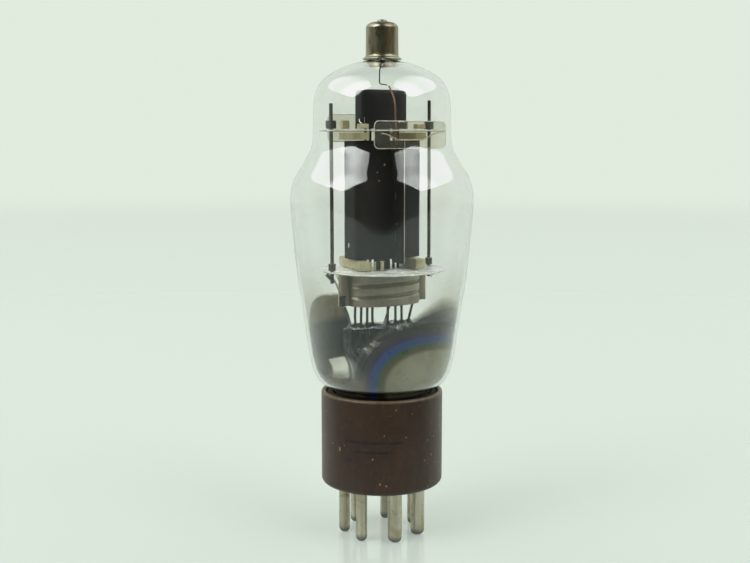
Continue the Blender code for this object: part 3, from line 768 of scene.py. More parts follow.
def stem_loop(a, b, z):
    """One level of the stem, uneven near the press and drawn up round each lead."""
    loop = []
    for i in range(96):
        x, y = a * math.cos(i * TAU / 96), b * math.sin(i * TAU / 96)
        lift = 0.0
        if z > STEM_TOP - 6:
            w = noise.noise(Vector((x * 0.25, y * 0.4, z * 0.5)))
            x, y = x * (1 + 0.02 * w), y * (1 + 0.16 * w)
            fold = noise.noise(Vector((x * 0.55, y * 0.8, z * 0.9)))
            y += math.copysign(0.45 * max(0.0, fold) ** 0.7 * min(1.0, STEM_TOP - z), y)
        if z > STEM_TOP - 0.2:
            near = min(abs(x - d) for d in LEAD_AT)
            lift = 0.9 * math.exp(-(near / 0.7) ** 2) - 0.5
        loop.append((x, y, z + lift))
    return loop


def build_stem():
    """Flare, pressed-flat top with fused shoulders, and a drop of glass round each lead."""
    outer = [(a, b, STEM_TOP + drop) for a, b, drop in STEM_OUTLINE]
    inner = [(a - GLASS_WALL, b - GLASS_WALL, z) for a, b, z in outer[:5]]
    inner += [(a, b, STEM_TOP + drop) for a, b, drop in STEM_HOLLOW_TOP]
    make("stem_glass", skin([stem_loop(*level) for level in spline(inner, 3)[::-1] + spline(outer, 8)]),
         "stem", yaw=YAW, replaces="glass_stem")
    bead = [(LEAD_R - 0.08, 0.95), (LEAD_R + 0.08, 0.9), (0.62, 0.45), (0.95, 0.05), (1.0, -0.35),
            (0.8, -0.6), (LEAD_R - 0.08, -0.6)]
    profile = raised(spline(bead, 2), STEM_TOP)
    for k, d in enumerate(LEAD_AT):
        turned("lead_bead_%d" % (k + 1), profile, "stem", in_room(d, 0.0), 24, closed=True)
    build_exhaust_tube()


def build_exhaust_tube():
    """Pump stem, drawn to a rounded tip where it was sealed off."""
    low, high, _ = span("exhaust_tube")
    r = high.x
    long = high.z - low.z
    tip = [(r, long), (r, 5.1), (r - 0.05, 2.7), (r - 0.3, 1.4), (r - 0.7, 0.5), (r - 1.2, 0.05), (0.0, 0.0)]
    inside = [(0.0, 1.5), (0.5, 2.0), (0.8, 3.1), (0.85, 5.1), (0.85, long)]
    turned("exhaust_tube_glass", raised(spline(tip, 3) + spline(inside, 3), low.z), "stem", sides=32,
           closed=True, replaces="exhaust_tube")


# ---------------------------------------------------------------- base, pins, cap
def build_base():
    """Moulded cup with a rounded foot and rim, and the baked cement inside its rim."""
    low, high, _ = span("base_shell", 0.0)
    r, wall, floor, foot = high.x, 1.36, 2.6, 1.4
    outline = [(0.0, low.z), (r / 2, low.z)] + arc((r - foot, low.z + foot), foot, -90, 0)
    outline += arc((r - wall / 2, high.z - wall / 2), wall / 2, 0, 180, 10)
    outline += arc((r - wall - 1.2, low.z + floor + 1.2), 1.2, 0, -90)
    outline += [(6.0, low.z + floor), (0.0, low.z + floor)]
    turned("base_moulding", outline, "base", sides=160, replaces="base_shell", angle=70)
    low, high, _ = span("basing_cement", 0.0)
    r, neck = high.x, OUTER[-1][0] + 0.2
    outline = [(neck, low.z), (r, low.z), (r, high.z - 0.3), (r - 0.3, high.z - 0.05),
               (r - 0.8, high.z - 0.2), (neck + 0.2, high.z + 0.15), (neck, high.z)]
    turned("cement_fill", outline, "cement", closed=True, replaces="basing_cement")


def build_pins():
    """Drawn hollow pins, each with a slightly skew solder tip and a collar inside the base floor."""
    rnd = random.Random(7)
    for name in nodes_named("pin_"):
        _, high, at = span(name, 0.0)
        r = max((p - at).xy.length for p in points_of(name, 0.0) if p.z < 14)
        tip = [(0.0, 0.02), (r * 0.3, 0.03), (r * 0.55, 0.16), (r * 0.78, 0.45), (r * 0.92, 0.9),
               (r * 0.985, 1.5), (r, 2.3)]
        wall, collar = 0.45, 0.52
        body = [(r, 4.0), (r * 0.995, 9.0), (r, 15.2), (r, high.z - 0.5), (r + collar - 0.02, high.z - 0.48),
                (r + collar, high.z - 0.04), (r - wall, high.z - 0.02), (r - wall, 3.2), (0.25, 2.5),
                (0.0, 2.5)]
        lean = rnd.uniform(0, TAU)
        loops = []
        for rr, z in spline(tip, 3):
            skew = 0.12 * max(0.0, 1 - z / 1.2)
            tip_at = (at.x + skew * math.cos(lean), at.y + skew * math.sin(lean))
            loops.append(ring(rr, max(z, 0.0), 48, tip_at))
        loops += [ring(rr, z, 48, (at.x, at.y)) for rr, z in body]
        make("tinned_" + name, skin(loops), "pin", replaces=name, angle=60)


def build_cap():
    """Pressed cap with a rolled skirt, its fill, and the solder pip that holds the anode wire."""
    sky = skyline("top_cap")
    top, foot = sky[0][1], sky[-1][1]
    side = next(r for r, z in sky if z < top - 1.4)
    wide, deep = 2.3, 1.7
    crown = [(side - wide + wide * math.sin(k * TAU / 32), top - deep + deep * math.cos(k * TAU / 32))
             for k in range(9)]
    crown += [(side, top - drop) for drop in (2.1, 2.8, 4.0)]
    skirt = [(r, foot + (z - foot) * (0.62 if z < foot + 2 else 1.0)) for r, z in sky if z < top - 5]
    outer = spline([(0.6, top)] + crown + skirt, 3)
    inner = [(r, min(z, top - 0.5)) for r, z in inward(outer, 0.45)]
    turned("cap_shell", outer + inner[::-1], "cap", closed=True, replaces="top_cap", angle=50)
    low, high, _ = span("cap_cement", 0.0)
    r = high.x
    fill = [(r - 0.22, low.z), (r, low.z + 0.05), (r, high.z), (r - 0.32, high.z + 0.1), (r - 0.62, high.z),
            (r - 0.67, high.z - 2.0)]
    turned("cap_fill", fill, "cement", sides=48, closed=True, replaces="cap_cement")
    low, high, _ = span("cap_solder", 0.0)
    r = high.x
    pip = [(0.0, low.z - 0.05), (r - 0.28, low.z), (r - 0.03, low.z + 0.1), (r - 0.07, low.z + 0.28),
           (r - 0.33, high.z - 0.19), (r - 0.83, high.z - 0.05), (0.0, high.z)]
    uneven = [(1 + 0.06 * math.sin(3 * k * TAU / 36), 1 + 0.05 * math.cos(2 * k * TAU / 36))
              for k in range(36)]
    loops = [[(x * wx, y * wy, z) for (x, y, z), (wx, wy) in zip(ring(r, z, 36), uneven)]
             for r, z in spline(pip, 3)]
    make("cap_solder_pip", skin(loops), "solder", replaces="cap_solder")


# ---------------------------------------------------------------- anode and can
ANODE_T = 0.38
ANODE_FOOT = 0.9
WELD_LEVELS = (0.13, 0.50, 0.90)


def anode_path(side, seam, end, fin):
    """Half of the anode's outline seen from above: seam fin, bulging wall, flat end and back."""
    wall = [(seam, fin), (seam, 5.6), (side * 5.0, 4.75), (side * end * 0.93, 3.5), (side * end, 2.9)]
    return [(x, -y) for x, y in wall] + wall[::-1]


def build_anode():
    """Two blackened sheets folded round the grids, crimped together along two standing seams."""
    for node, side in (("anode_left", -1), ("anode_right", 1)):
        low, high, _ = span(node)
        bottom, top, fin = low.z + ANODE_FOOT, high.z, high.y
        near, far = sorted((abs(low.x), abs(high.x)))
        path = resample(fillet(anode_path(side, side * near, far - 0.4, fin), 0.8), 0.8)
        welds = [bottom + share * (top - bottom) for share in WELD_LEVELS]

        def dent(x, y, z, side=side, welds=welds):
            crimp = sum(math.exp(-((z - w) / 0.8) ** 2 - ((abs(y) - 9.2) / 0.9) ** 2) for w in welds)
            bow = 0.05 * noise.noise(Vector((x * 0.12, y * 0.12, z * 0.1)))
            return side * (bow + (0.16 * crimp if abs(y) > 7.0 else 0.0))

        heights = [bottom, bottom + 0.1] + steps_between(bottom, top, 44)[1:-1] + [top - 0.1, top]
        folded_sheet(node + "_sheet", path, -side * ANODE_T, heights, "carbon", dent, replaces=node,
                     angle=40)
        foot_at = (side * (near + ANODE_T / 2), -fin + 2.8, bottom - 0.35)
        block(node + "_foot", foot_at, (ANODE_T, 5.4, 1.1), "carbon", round_by=0.05)
    build_anode_details(bottom, top, fin)


def build_anode_details(bottom, top, fin):
    """Spot welds and the bright sheared edge of the front seam; on the left end a dark block painted as the
    shade inside a slot, and a weld.
    """
    height = top - bottom
    for k, (share, h) in enumerate(((0.2, 2.6), (0.537, 2.0), (0.936, 2.2))):
        block("seam_weld_%d" % (k + 1), (-0.72, -8.2, bottom + share * height), (0.3, 0.42, h), "bright",
              round_by=0.05, rough=0.04)
    edge = [(0.0, -fin - 0.04, z) for z in (bottom - 0.8, bottom + height / 2, top - 0.1)]
    tube("seam_edge", edge, 0.12, "nickel", sides=8)
    end = span("anode_left")[0].x
    # painted shade: a dark block that stands for the shade inside a slot in the anode's end
    block("end_slot_shade", (end, 0.3, bottom + 7.1), (0.14, 0.42, 2.6), "cement", round_by=0.03, slot="carbonised")
    block("end_weld", (end, 0.3, bottom + 3.8), (0.24, 0.5, 1.2), "bright", round_by=0.05, rough=0.06)


def can_outline(half_length, half_depth):
    """Closed ten-sided outline of the can, its corners rounded and long sides divided."""
    side = [(1.0, 0.51), (0.57, 0.805), (0.0, 1.0), (-0.57, 0.805), (-1.0, 0.51)]
    points = [(x * half_length, y * half_depth) for x, y in side]
    points += [(-x, -y) for x, y in points]
    closed = fillet(points + points[:2], 0.9)[1:-1]
    return resample(closed + closed[:1], 0.9)[:-1]


def build_can():
    """Blackened can over the top mica: rolled top edge, open below."""
    low, high, at = span("upper_shield_can")
    path = can_outline(high.x - at.x, high.y - at.y)

    def level(inset, z):
        loop = []
        for x, y in path:
            pull = Vector((x, y)).normalized() * inset
            dent = 0.10 * noise.noise(Vector((x * 0.3, y * 0.3, 5.0)))
            loop.append((at.x + x - pull.x, y - pull.y, z + dent))
        return loop

    wall, top = 0.4, high.z
    inside = [(wall, low.z), (wall + 0.1, top - 0.5), (1.9, top - 0.4)]
    outside = [(0.0, low.z), (0.0, low.z + 5), (0.0, top - 1.3), (0.05, top - 0.5), (0.25, top - 0.15),
               (0.6, top), (1.2, top + 0.08), (1.9, top + 0.12)]
    levels = [level(*pair) for pair in inside[::-1] + outside]
    make("upper_can", skin(levels), "carbon", yaw=YAW, replaces="upper_shield_can", angle=35)


def build_wires(wires, z0, steps):
    """Fittings of thin wire or strap, each a path counted from the height z0, a radius and a material."""
    for name, (path, r, mat) in wires.items():
        tube(name, spline([(x, y, z0 + z) for x, y, z in path], steps), r, mat, sides=8, slot="nickel")


def build_clips():
    """Small straps and tabs that tie the can, the ribbon and the front spacer to the top mica."""
    can_low = span("upper_shield_can")[0]
    mica = span("top_mica")[1].z
    spring_y = span("spacer_front")[1].y + 1.5
    spring = [(-8.2, 0.0, -0.95), (-6.0, 0.0, -1.4), (-3.4, 0.0, -2.6), (-2.4, 0.0, -2.75), (1.2, 0.0, -2.77),
              (4.6, 0.0, -2.72), (5.6, 0.0, -2.5), (7.7, 0.0, -1.6), (10.0, 0.1, -0.75), (12.4, 0.5, -0.6)]
    left = can_low.x - 0.2
    clips = {
        "can_clip_left": ([(left, -1.1, 3.0), (left - 0.2, -1.4, 2.6), (left - 0.35, -2.1, 2.0),
                           (left - 0.2, -2.7, 1.8)], 0.2, "bright"),
        "can_wire_left": ([(left + 0.5, -2.9, 3.2), (left + 0.4, -3.0, 2.2), (left + 0.4, -3.1, 1.1)], 0.07,
                          "bright"),
        "can_clip_right": ([(2.4, -4.3, 1.9), (3.4, -4.4, 2.3), (4.8, -4.2, 1.9)], 0.2, "bright"),
        "spring_strap": ([(x, spring_y + y, z) for x, y, z in spring], 0.2, "bright"),
    }
    build_wires(clips, mica, 4)
    block("ribbon_tab", (-2.3, -9.4, mica - 1.4), (1.9, 0.3, 1.5), "copper", round_by=0.1, rough=0.1)
    block("ribbon_clip", (0.9, -9.2, mica - 0.85), (1.5, 0.3, 0.4), "bright", round_by=0.1, rough=0.1)


# ---------------------------------------------------------------- micas and ceramics
def bored(x, y, r, squash=1.0):
    """Round hole, or an oval one when squashed."""
    return [(x + r * math.cos(i * TAU / 24), y + r * squash * math.sin(i * TAU / 24)) for i in range(24)]


def slit(x, y, w, h):
    """Rectangular hole."""
    return [(x - w / 2, y - h / 2), (x + w / 2, y - h / 2), (x + w / 2, y + h / 2), (x - w / 2, y + h / 2)]


def punch(obj, shapes, z):
    """Cuts each 2-D shape through a sheet that lies at height z."""
    cutters = []
    for shape in shapes:
        prism = skin([[(x, y, h) for x, y in shape] for h in (z - 1, z + 2)])
        cutter = placed("cutter", mesh_of("cutter", prism, YAW))
        cutters.append(cutter)
        cut = obj.modifiers.new("cut", "BOOLEAN")
        cut.operation, cut.solver, cut.object = "DIFFERENCE", "EXACT", cutter
    graph = bpy.context.evaluated_depsgraph_get()
    obj.data = bpy.data.meshes.new_from_object(obj.evaluated_get(graph))
    obj.modifiers.clear()
    for cutter in cutters:
        bpy.data.objects.remove(cutter, do_unlink=True)


def build_disc(name, node, holes, mat, seed):
    """Round sheet with a slightly uneven rim, punched for everything that passes through it."""
    low, high, _ = span(node)
    levels = ((low.z, 0.06), (low.z + 0.06, 0.0), (high.z - 0.06, 0.0), (high.z, 0.06))
    loops = []
    for z, inset in levels:
        loop = []
        for i in range(160):
            c, s = math.cos(i * TAU / 160), math.sin(i * TAU / 160)
            r = high.x - inset + 0.12 * noise.noise(Vector((c * 5, s * 5, seed)))
            loop.append((r * c, r * s, z))
        loops.append(loop)
    disc = make(name, skin(loops), mat, yaw=YAW, replaces=node, angle=40)
    punch(disc, holes, low.z)
    t = high.z - low.z
    hoop = ring(high.x - 0.03, low.z + t / 2, 96)
    tube(name + "_edge", hoop + hoop[:1], t * 0.42, "mica_edge", sides=8)


def build_spacer(name, node):
    """Upright mica tongue that steadies the mount against the bulb."""
    low, high, at = span(node)
    r, t = 1.4, 0.14
    left, right, foot, head = low.x + r, high.x - r, low.z + r, high.z - r
    centres = ((right, head), (left, head), (left, foot), (right, foot))
    shape = [p for k, c in enumerate(centres) for p in arc(c, r, k * 90, k * 90 + 90)]
    warp = [0.1 * noise.noise(Vector((x * 0.2, z * 0.3, at.y))) for x, z in shape]
    loops = []
    for y, inset in ((-t, 0.05), (-0.65 * t, 0.0), (0.65 * t, 0.0), (t, 0.05)):
        loops.append([(x - math.copysign(inset, x), at.y + y + w, z - math.copysign(inset, z - at.z))
                      for (x, z), w in zip(shape, warp)])
    make(name, skin(loops), "mica", yaw=YAW, replaces=node, angle=40)
    outline = [(x, at.y, z) for x, z in shape + shape[:1]]
    tube(name + "_edge", outline, 0.11, "mica_edge", sides=6)


def build_micas():
    """Lower coated disc, top mica and the two bulb spacers."""
    rod = span("support_rod_right")[2].x
    common = [bored(s * rod, 0, 0.75) for s in (-1, 1)] + [bored(0, 0, 2.85, 0.45)]
    common += [bored(s * grid_reach(grid), 0, 0.62) for grid in ("control_grid", "screen_grid")
               for s in (-1, 1)]
    slits = [slit(1.2, -9.4, 1.9, 0.5), slit(8.5, -7.0, 2.2, 0.4)]
    build_disc("lower_disc_plate", "lower_disc", common + slits, "disc", 3.0)
    ribbon = span("anode_ribbon")[0]
    slots = [slit(ribbon.x + 0.2, ribbon.y + 0.4, 1.5, 1.2)]
    slots += [slit(0, span(node)[2].y, 8.0, 0.8) for node in ("spacer_front", "spacer_rear")]
    build_disc("top_mica_plate", "top_mica", common + slots, "mica", 9.0)
    build_spacer("bulb_spacer_front", "spacer_front")
    build_spacer("bulb_spacer_rear", "spacer_rear")


def build_insulators():
    """Steatite bars on both discs and the small blocks that clamp the top mica."""
    for node in nodes_named("bar_", "block_"):
        low, high, at = span(node, BAR_YAW)
        name = node.replace("bar_", "steatite_").replace("block_", "steatite_block_")
        block(name, at, high - low, "steatite", yaw=BAR_YAW, round_by=0.25, rough=0.05, replaces=node)


def build_rods():
    """Support rods, and the crimped collars that hold the discs on them."""
    for side in ("left", "right"):
        low, high, at = span("support_rod_" + side)
        sway = ((0.0, 0.0), (0.21, 0.02), (0.5, -0.03), (0.79, 0.02), (0.99, 0.0), (1.0, 0.0))
        path = [(at.x + dx, 0.0, low.z + share * (high.z - low.z)) for share, dx in sway]
        tube("rod_" + side, spline(path, 6), 0.5, "rod", sides=20, replaces="support_rod_" + side,
             taper=lambda t: 1.0 if t < 0.985 else 0.8, angle=60)
        for level, mat in (("lower", "rod"), ("upper", "ferrule")):
            build_collar("ferrule_%s_%s" % (side, level), "collar_%s_%s" % (side, level), mat)


def build_collar(name, node, mat):
    """Short sleeve with six crimp marks pressed into it."""
    low, high, at = span(node)
    r, bore = (high.x - low.x) / 2, 0.58
    profile = [(bore, low.z), (r - 0.12, low.z), (r, low.z + 0.15), (r, high.z - 0.15), (r - 0.12, high.z),
               (bore, high.z)]
    loops = []
    for rr, z in profile:
        crimped = 0.93 if rr > bore else 1.0
        pull = [crimped if k % 8 < 2 else 1.0 for k in range(48)]
        loops.append([(at.x + x * p, y * p, z) for (x, y, z), p in zip(ring(rr, z, 48), pull)])
    make(name, skin(loops, closed=True), mat, yaw=YAW, replaces=node, angle=35)


# ---------------------------------------------------------------- shield, grids and wires
def build_shield():
    """Two pressed half shells under the lower disc, with two grooves and flat side flanges."""
    for node, side in (("shield_front", -1), ("shield_rear", 1)):
        low, high, _ = span(node)
        gap, far = sorted((abs(low.y), abs(high.y)))
        depth = far - gap - 0.7
        half = 10.8
        bow = steps_between(0.0, math.pi, 48)
        path = [(low.x, gap), (low.x + 1.6, gap)]
        path += [(-half * math.cos(t), gap + depth * math.sin(t) ** 0.75) for t in bow]
        path += [(half + 1.8, gap), (high.x, gap)]
        grooves = (low.z + 2.8, low.z + 6.0)

        def dent(x, y, z, grooves=grooves):
            bulge = max(0.0, min(1.0, (y - 1.5) / 2.5))
            h = sum(0.7 * math.exp(-((z - g - 0.02 * x) / 0.36) ** 2) for g in grooves)
            return 0.05 * noise.noise(Vector((x * 0.2, y * 0.2, z * 0.3))) - bulge * h

        folded_sheet(node + "_shell", path, 0.33, steps_between(low.z, high.z, 90), "shield", dent, side,
                     replaces=node, angle=50)


def build_ties():
    """Wires and sleeves that tie the shield's flanges to the rods."""
    low = span("shield_front")[0]
    disc, top = (corner.z for corner in span("lower_disc")[:2])
    rod = span("support_rod_right")[2].x
    ties = {
        "tie_stub_left": ([(-rod - 1.7, 0.0, -0.15), (-rod - 0.8, -0.3, -1.25), (-rod + 0.3, -0.6, -2.25)],
                          0.55, "rod"),
        "tie_strap_left": ([(-rod, -0.9, -1.65), (-rod + 0.9, -0.9, -3.25), (-rod + 1.7, -0.9, -5.25),
                            (-rod + 2.3, -0.6, -6.55)], 0.24, "nickel"),
        "tie_wire_left": ([(-rod + 0.8, -0.6, -0.15), (-rod + 1.5, -1.0, -2.05), (-rod + 1.8, -1.1, -3.85)],
                          0.13, "bright"),
        "tie_wire_right": ([(rod - 0.6, -0.5, -0.15), (rod, -0.9, -1.25), (rod + 1.1, -0.9, -1.55),
                            (rod + 0.2, -0.9, -3.05)], 0.16, "nickel"),
    }
    build_wires(ties, disc, 5)
    block("tie_sleeve_left", (low.x + 0.5, -0.9, low.z + 1.6), (1.7, 0.9, 3.0), "ferrule", round_by=0.3,
          rough=0.1)
    for k, (x, r) in enumerate(((-7.0, 0.5), (-5.6, 0.42), (-3.2, 0.6))):
        profile = [(0.2, 0.1), (r, 0.1), (r, 0.35), (r * 0.85, 0.5), (r * 0.85, 2.35), (r, 2.45), (r, 2.65),
                   (0.2, 2.65)]
        turned("eyelet_%d" % (k + 1), raised(profile, top), "steatite", in_room(x, -5.2), 24, closed=True,
               angle=40)


GRID_ROD_R = 0.38
GRID_WOUND = 29.0


def grid_reach(node):
    """Distance of a grid's side rods from the axis."""
    return span(node)[1].x - GRID_ROD_R + 0.01


def build_grids():
    """Oval helices wound on two side rods each."""
    for node, pitch in (("control_grid", 0.9), ("screen_grid", 1.1)):
        low, high, _ = span(node)
        reach, half = grid_reach(node), high.y - 0.13
        first = span("anode_left")[0].z + 2.8
        turns = int(GRID_WOUND / pitch)
        path = [(reach * math.cos(t * TAU), half * math.sin(t * TAU), first + t * pitch)
                for t in steps_between(0, turns, turns * 24)]
        tube(node + "_winding", path, 0.1, "grid", sides=6, replaces=node)
        for side, s in (("left", -1), ("right", 1)):
            ends = [(s * reach, 0, z) for z in steps_between(low.z, high.z, 2)]
            tube("%s_rod_%s" % (node, side), ends, GRID_ROD_R, "ferrule", sides=14, slot="grid_wire")


def lead_path(k, node):
    """From the mount down through the press and, where the lead is used, fanned out into its pin."""
    low, high, _ = span(node)
    d = LEAD_AT[k]
    head = middle(node, high.z - 0.6, high.z)
    sway = 0.18 * math.sin(k * 2.1)
    outwards = 1.08 if abs(head.x) > abs(d) else 1.0
    path = [(head.x, 0.0, high.z - 0.1), (d * outwards, sway, STEM_TOP + 3.7),
            (d, sway * 0.4, STEM_TOP + 0.7), (d, 0.0, STEM_TOP - 0.5), (d, 0.0, STEM_TOP - 6.0)]
    if low.z > STEM_TOP - 10:
        return path
    pin = middle(node, low.z, low.z + 0.5)
    way = math.copysign(1.0, pin.y)
    fan = [(d * 0.97, 0.0, -7.3), (d * 0.72, way * 1.2, -10.5), (d * 0.62, way * 2.9, -14.1),
           (pin.x * 0.66, pin.y * 0.66, -19.9), (pin.x, pin.y, -30.9), (pin.x, pin.y, -40.9)]
    return path + [(x, y, STEM_TOP + drop) for x, y, drop in fan] + [(pin.x, pin.y, low.z)]


def build_leads():
    """The leads that come up through the press."""
    for k, node in enumerate(LEAD_NAMES):
        tube("lead_wire_%d" % (k + 1), spline(lead_path(k, node), 5), LEAD_R, "lead", replaces=node)


def build_anode_lead():
    """Stiff wire down from the cap with a double bend, then a copper ribbon past the can to the anode."""
    low, high, _ = span("anode_seal_wire", 0.0)
    end = middle("anode_seal_wire", low.z, low.z + 0.5, 0.0)
    bend = low.z + 0.5
    path = [(0.0, 0.0, high.z), (0.0, 0.0, bend + 9.6), (-0.02, 0.0, bend + 7.6), (-0.3, 0.0, bend + 5.4),
            (-0.65, -0.25, bend + 4.0), (-0.72, -0.3, bend + 2.2), (-0.7, -0.32, bend + 0.8),
            (-0.3, -0.95, bend + 0.22), (end.x * 0.4, end.y * 0.62, bend), (end.x, end.y, low.z + 0.2)]
    tube("anode_wire", spline(path), 0.2, "lead", 0.0, 10, replaces="anode_seal_wire")
    low, high, _ = span("anode_ribbon")
    first = middle("anode_ribbon", high.z - 0.3, high.z)
    last = middle("anode_ribbon", low.z, low.z + 0.1)
    fall = ((0.0, 0.0), (0.065, 0.19), (0.21, 0.54), (0.33, 0.69), (0.52, 0.78), (0.76, 0.91), (0.91, 1.0),
            (1.0, 1.0))
    path = []
    for down, out in fall:
        side = smoothstep(0.2, 0.8, down)
        path.append((first.x + (last.x - first.x) * side, first.y + (last.y - first.y) * out,
                     high.z + (low.z - high.z) * down))
    tube("copper_ribbon", spline(path), 0.1, "copper", sides=10, width=0.6, replaces="anode_ribbon")


def build_getter():
    """Spent getter pan on its wire behind the stem."""
    low, high, at = span("getter_cup")
    r = (high.x - low.x) / 2
    cup = [(0.0, 0.0), (r - 0.4, 0.0), (r - 0.15, 0.15), (r, 0.7), (r, 1.25), (r - 0.1, 1.35),
           (r - 0.3, 1.25), (r - 0.4, 0.6), (r - 0.6, 0.35), (0.0, 0.35)]
    turned("getter_pan", raised(cup, low.z), "nickel", in_room(at.x, at.y), 48, replaces="getter_cup")
    low, high, at = span("getter_support")
    path = [(at.x, low.y + 0.26, high.z - 0.1), (at.x, low.y + 0.56, high.z - 0.9),
            (at.x, high.y - 0.67, low.z + 2.3), (at.x, high.y - 0.27, low.z + 0.05)]
    tube("getter_wire", spline(path, 5), 0.28, "nickel", replaces="getter_support")


def dress_cad_nodes():
    """CAD solids inside the anode that are shown as they are get the finished materials."""
    looks = {"cathode_sleeve": "ferrule", "heater": "alumina", "beam_plate_left": "ferrule",
             "beam_plate_right": "ferrule"}
    for node, mat in looks.items():
        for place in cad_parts[node].material_slots:
            place.material = MATS[mat]


# ---------------------------------------------------------------- studio, in metres
FLOOR_GLOW = (0.315, 0.352, 0.318)
FLOOR_MATT = (0.30, 0.325, 0.30)
FLOOR_RADIUS = 2.4
WALL = (0.75, 0.835, 0.735)
DARK_ROOM = (0.035, 0.03, 0.022)
SOFTBOX_HALF = (0.70, 1.19)
# side of the tube and brightest glow of each softbox
SOFTBOX_PEAKS = {"softbox_left": (-1, 7.4), "softbox_right": (1, 5.2)}
SOFTBOX_AT = (1.0, -0.14, 1.25)
BENCH_MIDDLE = (0.0, -0.14, 0.1)
FILL_AT = Vector((-0.7, -1.1, 0.55))
CAMERA_AT = (-0.001962, -0.323354, 0.113809)
CAMERA_DOWN = 7.19
CAMERA_LENS = 55.04


def floor_material():
    """Pale glossy table top; its far edge melts into the wall, and mirrors find it dark in front."""
    m = Nodes("studio_floor")
    x, y, _ = m.xyz()
    away = m.math("SQRT", m.plus(m.times(x, x), m.times(y, y)))
    speck = m.noise(14, 3, 0.5)
    shade = m.blend(m.range(speck, 0.3, 0.7, 0.0, 0.3), FLOOR_GLOW, shaded(FLOOR_GLOW, 0.97))
    near = m.times(m.range(y, -0.03, -0.12, 1.0, 0.5), m.range(y, -0.32, -0.40, 1.0, 0.0))
    share = m.most(m.direct(), near)
    matt = m.wired("ShaderNodeBsdfDiffuse", {0: FLOOR_MATT})
    under = m.wired("ShaderNodeAddShader", {0: m.glow(shade, share), 1: matt})
    gloss = m.wired("ShaderNodeBsdfGlossy", {"Color": (1.0, 1.0, 1.0), "Roughness": 0.12})
    shine = m.times(m.new("ShaderNodeFresnel").outputs[0], m.range(y, -0.9, -0.45))
    both = m.mix_shader(shine, under, gloss)
    # in reflections the table ends soon in front of the tube, as it does in the photograph
    edge = m.times(m.math("SUBTRACT", 1.0, m.direct()), m.ease(y, -0.345, -0.385))
    gone = m.most(edge, m.ease(away, 1.2, 2.2))
    return m.finish(m.mix_shader(gone, both, m.clear()))


def build_floor():
    """Round table top, wide enough to fade out before its edge."""
    mesh = mesh_of("floor", (ring(FLOOR_RADIUS / MM, 0.0, 48), [tuple(range(48))]))
    mesh.materials.append(floor_material())
    placed("floor", mesh)


def build_world():
    """Pale wall behind the tube; lamps and mirrors find the rest of the room dark."""
    w = Nodes("studio", world=True)
    _, y, z = w.xyz()
    ahead = w.ease(y, -0.15, 0.35, 1.0, 0.0)
    high = w.ease(z, 0.55, 0.9, 0.0, 0.8)
    dark = w.times(w.most(ahead, high), w.math("SUBTRACT", 1.0, w.direct()))
    SC.world = w.finish(w.wired("ShaderNodeBackground", {0: w.blend(dark, WALL, DARK_ROOM)}))


def softbox_material(name, side, peak):
    """Cloth front of a softbox, brightest beside the camera and dimmer towards the zenith and the back."""
    m = Nodes(name)
    x, y, _ = m.xyz()
    back = m.times(y, side)
    core = m.ease(back, -0.44, 0.01, peak, 2.2)
    core = m.times(core, m.ease(x, 0.1, 0.66, 1.0, 0.45))
    lamp = m.new("ShaderNodeLightPath").outputs["Is Diffuse Ray"]
    core = m.times(core, m.range(lamp, 0.0, 1.0, 1.0, 0.42))
    squareness = m.range(back, -0.2, 0.2, 5.0, 2.8)
    reach = [m.math("POWER", m.math("ABSOLUTE", m.math("DIVIDE", v, half)), squareness)
             for v, half in zip((x, y), SOFTBOX_HALF)]
    outside = m.ease(m.plus(*reach), 0.9, 1.0)
    away = m.new("ShaderNodeNewGeometry").outputs["Backfacing"]
    return m.finish(m.mix_shader(m.most(away, outside), m.glow((0.95, 1.0, 0.96), core), m.clear()))


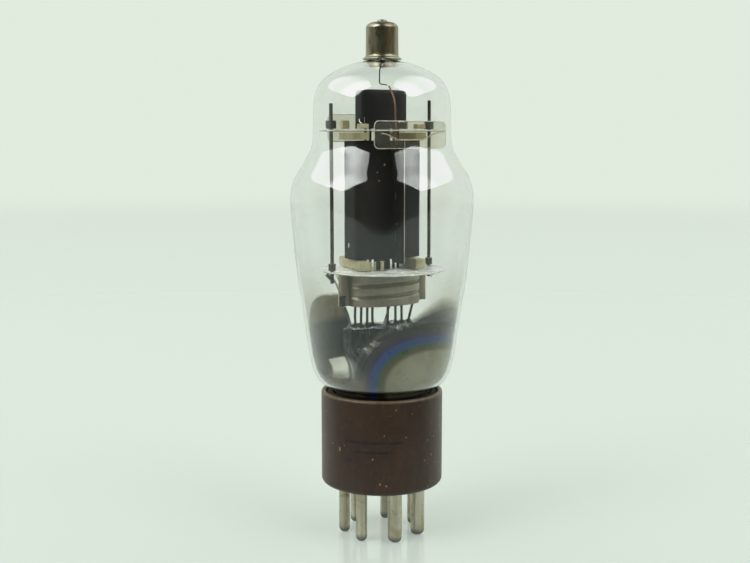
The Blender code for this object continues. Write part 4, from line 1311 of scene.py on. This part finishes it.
def build_softbox(name, side, peak):
    """Panel above and beside the tube; local x runs towards the zenith, y along the bench."""
    half_x, half_y = SOFTBOX_HALF
    mesh = bpy.data.meshes.new(name)
    signs = ((-1, -1), (1, -1), (1, 1), (-1, 1))
    mesh.from_pydata([(sx * half_x, sy * half_y, 0) for sx, sy in signs], [], [(0, 1, 2, 3)])
    mesh.materials.append(softbox_material(name, side, peak))
    panel = placed(name, mesh)
    place = Vector((side * SOFTBOX_AT[0], *SOFTBOX_AT[1:]))
    facing = (Vector(BENCH_MIDDLE) - place).normalized()
    along = Vector((0.0, side, 0.0))
    turn = Matrix((along.cross(facing), along, facing)).transposed()
    panel.matrix_world = Matrix.Translation(place) @ turn.to_4x4()


def build_fill():
    """Weak lamp near the camera that lifts the metal and the base."""
    fill = placed("front_fill", bpy.data.lights.new("front_fill", "AREA"))
    fill.data.size = 1.0
    fill.data.energy = 4.2
    fill.location = FILL_AT
    fill.rotation_euler = (Vector((0, 0, 0.08)) - FILL_AT).to_track_quat("-Z", "Y").to_euler()
    fill.visible_glossy = False
    fill.visible_transmission = False


def build_camera():
    """Close camera a little above the middle of the tube, looking slightly down."""
    cam = placed("camera", bpy.data.cameras.new("camera"))
    cam.location = CAMERA_AT
    cam.rotation_euler = (math.radians(90 - CAMERA_DOWN), 0.0, 0.0)
    cam.data.lens = CAMERA_LENS
    cam.data.sensor_width = 36.0
    cam.data.clip_start = 0.005
    SC.camera = cam
    SC.view_settings.view_transform = "Standard"
    SC.view_settings.look = "None"
    soften_highlights(SC.view_settings)


def soften_highlights(view):
    """Tone curve of the photograph: straight up to the wall's brightness, then rolling off towards white."""
    brightest = 4.0
    view.use_curve_mapping = True
    view.curve_mapping.white_level = (brightest, brightest, brightest)
    curve = view.curve_mapping.curves[3]
    curve.points[0].handle_type = "VECTOR"
    curve.points[1].handle_type = "VECTOR"
    for scene_value, shown in ((0.84, 0.84), (1.0, 0.885), (1.4, 0.935), (2.5, 0.98)):
        curve.points.new(scene_value / brightest, shown).handle_type = "VECTOR"
    view.curve_mapping.update()


build_bulb()
build_film()
build_stem()
build_base()
build_pins()
build_cap()
build_anode()
build_can()
build_clips()
build_micas()
build_insulators()
build_rods()
build_anode_lead()
build_shield()
build_ties()
build_grids()
build_leads()
build_getter()
dress_cad_nodes()
build_floor()
build_world()
for lamp, (lamp_side, lamp_peak) in SOFTBOX_PEAKS.items():
    build_softbox(lamp, lamp_side, lamp_peak)
build_fill()
build_camera()
